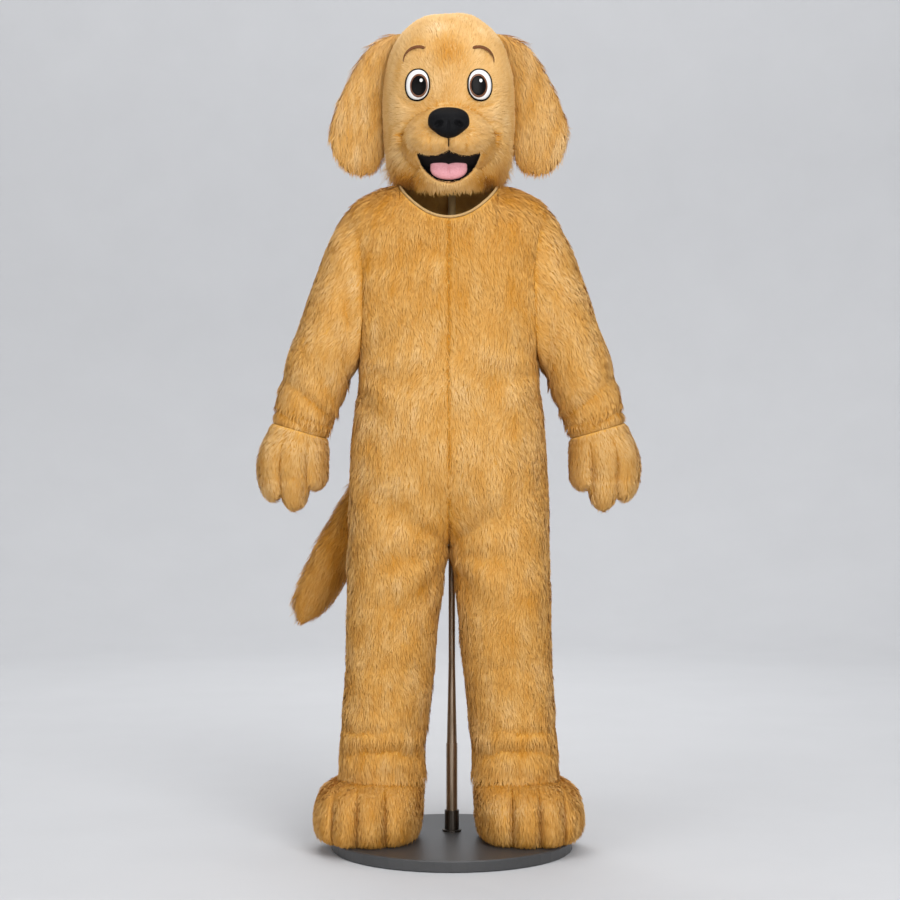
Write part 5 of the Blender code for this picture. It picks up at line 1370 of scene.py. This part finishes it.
def neckEdge(inset, side):
    # the neckline of one side, front then back, as points on the cloth
    across = np.linspace(0, suit["neckSide"] / shoulder["x"][-1], 60)
    line = np.full_like(across, suit["yokeLine"])
    front, back = (suitPoint(across, line, neckTurn(across, back), back, inset, side)
                   for back in (False, True))
    return np.concatenate((front[:-1], back[::-1])) * (side, 1.0, 1.0)


def neckRing(inset):
    # evenly spaced points round the whole neckline
    half, other = neckEdge(inset, 1), neckEdge(inset, -1)
    closed = np.concatenate((half[:-1], other[::-1][:-1], half[:1]))
    gone = travelled(closed[None], 1)[0]
    even = np.linspace(0, gone[-1], binding["points"], endpoint=False)
    return np.stack([np.interp(even, gone, closed[:, axis]) for axis in range(3)], axis=-1)


outer, inner = neckRing(0.0), neckRing(0.008)
middle = (outer + inner) / 2
along = unit(np.roll(middle, -1, axis=0) - np.roll(middle, 1, axis=0))
towards = unit(np.cross(along, outer - inner))
towards = towards * np.sign((towards * (np.array(binding["neckMiddle"]) - middle)).sum(axis=1, keepdims=True))
middle = middle + towards * (binding["radius"] + 0.0009) + (suit["aside"], 0.0, 0.0)
beside = np.cross(along, towards)
count, section = binding["points"], binding["section"]
turn = turnsOf(section)[None, :, None]
swell = 1 + 0.05 * np.sin(np.arange(count) * 2 * np.pi * binding["swells"] / count)[:, None, None]
radius = binding["radius"] * 0.97 * swell
grid = middle[:, None] + radius * (towards[:, None] * np.cos(turn) + 1.25 * beside[:, None] * np.sin(turn))
flip = looksInward(wrapped(np.concatenate((grid, grid[:1]))))
faces = gridFaces(count + 1, section, True, flip) % (count * section)
roll = meshOf("neck_binding_roll", grid.reshape(-1, 3), faces, tape)
settle(roll, "costume_and_stand", "neck_binding")


def joinedBoxes(name, centres, axes, halves, material):
    # many small blocks in one mesh, each on its own axes
    signs = np.array([(a, b, c) for a in (-1, 1) for b in (-1, 1) for c in (-1, 1)], dtype=float)
    points = centres[:, None] + sum(signs[None, :, i:i + 1] * halves[i] * axes[i][:, None] for i in range(3))
    box = np.array(((0, 1, 3, 2), (4, 6, 7, 5), (0, 4, 5, 1), (2, 3, 7, 6), (0, 2, 6, 4), (1, 5, 7, 3)))
    if (np.cross(axes[0][0], axes[1][0]) * axes[2][0]).sum() < 0:
        box = box[:, ::-1]
    faces = (np.arange(len(centres))[:, None, None] * 8 + box[None]).reshape(-1, 4)
    made = meshOf(name, points.reshape(-1, 3), faces, material)
    made.data.shade_flat()
    return settle(made, "costume_and_stand")


# a row of stitches along the binding, on the side that looks into the neck
stitchAt = (middle - beside * binding["radius"] * 1.24)[::2]
joinedBoxes("binding_stitches", stitchAt, (along[::2], towards[::2], beside[::2]), binding["stitch"],
            threadTan)

zipShape = {"top": 1.480, "bottom": 0.975, "halfWidth": 0.0085, "pitch": 0.0026, "rows": 140,
            "low": 0.0008, "high": 0.0016, "apart": 0.0009, "tooth": (0.0021, 0.00055, 0.00085)}

# the centre-back seam on the outside of the cloth, evenly spaced, with its outward direction
seamLine = suitGrid(True, 0.0, 1)[:, 0]
order = np.argsort(seamLine[:, 2])
heights = np.linspace(zipShape["bottom"] + 0.0002, zipShape["top"] - 0.0002, zipShape["rows"])
depth = np.interp(heights, seamLine[order, 2], seamLine[order, 1])
line = np.stack((0 * heights, depth, heights), axis=-1)
along = unit(np.gradient(line, axis=0))
line = line + (suit["aside"], 0.0, 0.0)
right = np.array((1.0, 0.0, 0.0))
out = unit(np.cross(along, right))
out = out * np.sign(out[:, 1:2])
low, high = (line + out * zipShape[level] for level in ("low", "high"))
width = (np.linspace(-1, 1, 9) * zipShape["halfWidth"])[:, None] * right
tapes = [lift[:, None] + width[None] for lift in (high, low)]
solidOn("zip_tape", np.concatenate((tapes[0], tapes[1][:, ::-1]), axis=1), tape, "zip_chain",
        "costume_and_stand")

# teeth from each tape in turn, meshed down the middle below the slider
toothCount = int((zipShape["top"] - zipShape["bottom"] - 0.004) / zipShape["pitch"])
numbers = np.arange(toothCount)
share = (numbers + 0.5) / toothCount * (len(line) - 1)
index = share.astype(int)
part = (share - index)[:, None]
at = high[index] * (1 - part) + high[np.minimum(index + 1, len(high) - 1)] * part
aside = np.where(numbers % 2 == 0, 1.0, -1.0)[:, None] * right * zipShape["apart"]
axes = np.broadcast_to(right, at.shape), out[index], along[index]
joinedBoxes("zip_teeth", at + aside + out[index] * 0.0002, axes, zipShape["tooth"], zipBrass)
print("neckline and zip done")


# Finishes of the carried pieces: the stand, the zip's slider and tab, the post under the head.

carried = {
    basePaint: ("stand_base",),
    socketMetal: ("stand_socket",),
    poleMetal: ("pole_lower", "pole_ferrule", "pole_upper", "yoke_hub", "yoke_arm_left", "yoke_arm_right"),
    tape: ("head_cap", "neck_post"),
    zipBrass: ("zip_slider", "zip_tab"),
}
for material, names in carried.items():
    for name in names:
        node = bpy.data.objects[name]
        node.data.materials.clear()
        node.data.materials.append(material)


# Floor, backdrop, lights and camera.

studio = {"floor": 4.4, "sweep": 2.6, "height": 9.0, "steps": 72}


# a flat round floor that turns up along a quarter circle into a wall all the way round
turn = np.linspace(0, np.pi / 2, 26)
wall = studio["floor"] + studio["sweep"]
reach = np.concatenate(((0.02, 2.0), studio["floor"] + studio["sweep"] * np.sin(turn), (wall,)))[:, None]
height = np.concatenate(((0.0, 0.0), studio["sweep"] * (1 - np.cos(turn)), (studio["height"],)))[:, None]
about = turnsOf(studio["steps"])[None]
points = reach * np.cos(about), reach * np.sin(about), height - 0.0004
grid = np.stack(np.broadcast_arrays(*points), axis=-1)
paper = moulded("backdropPaper", (0.525, 0.530, 0.543), (0.540, 0.545, 0.558), 0.95, 3.0, 0.02, 0.1)
backdrop = meshOf("backdrop", grid.reshape(-1, 3), gridFaces(*grid.shape[:2], True, True), paper)
closeEnd(backdrop, grid, "first", True)


lamps = {
    # where it stands, what it looks at, its width and height, its power in watts
    "keySoft": ((1.7, -3.9, 2.7), (0.0, 0.0, 0.85), (2.4, 2.4), 152),
    "fillSoft": ((-2.8, -3.2, 1.5), (0.0, 0.0, 0.8), (2.4, 2.8), 58),
    "frontSoft": ((0.5, -4.6, 0.75), (0.0, 0.0, 1.2), (1.4, 1.4), 24),
    "topSoft": ((0.0, -0.8, 4.8), (0.0, 0.0, 0.9), (3.6, 3.0), 82),
    "rearSoft": ((-0.8, 3.2, 4.7), (0.0, 0.0, 0.9), (3.0, 2.0), 92),
    "backWash": ((0.0, 2.2, 5.2), (0.0, 6.8, 2.6), (5.0, 1.6), 172),
}
for name, (place, target, size, power) in lamps.items():
    light = bpy.data.lights.new(name, "AREA")
    light.shape = "RECTANGLE"
    light.size, light.size_y = size
    light.energy = power
    holder = placed(name, light)
    holder.location = place
    holder.rotation_euler = (Vector(target) - Vector(place)).to_track_quat("-Z", "Y").to_euler()

sky = {"colour": (0.80, 0.82, 0.86, 1.0), "strength": 0.50}
world = bpy.data.worlds.new("studio")
bpy.context.scene.world = world
world.use_nodes = True
world.node_tree.nodes["Background"].inputs[0].default_value = sky["colour"]
world.node_tree.nodes["Background"].inputs[1].default_value = sky["strength"]

view = {"place": (-0.0042, -4.4, 0.896), "lens": 78.0, "sensor": 36.0}
camera = bpy.data.cameras.new("camera")
camera.lens = view["lens"]
camera.sensor_width = view["sensor"]
holder = placed("camera", camera)
holder.location = view["place"]
holder.rotation_euler = (math.pi / 2, 0.0, 0.0)
bpy.context.scene.camera = holder
bpy.context.scene.view_settings.view_transform = "Standard"

print("stage done:", furCount[0], "strands in all")
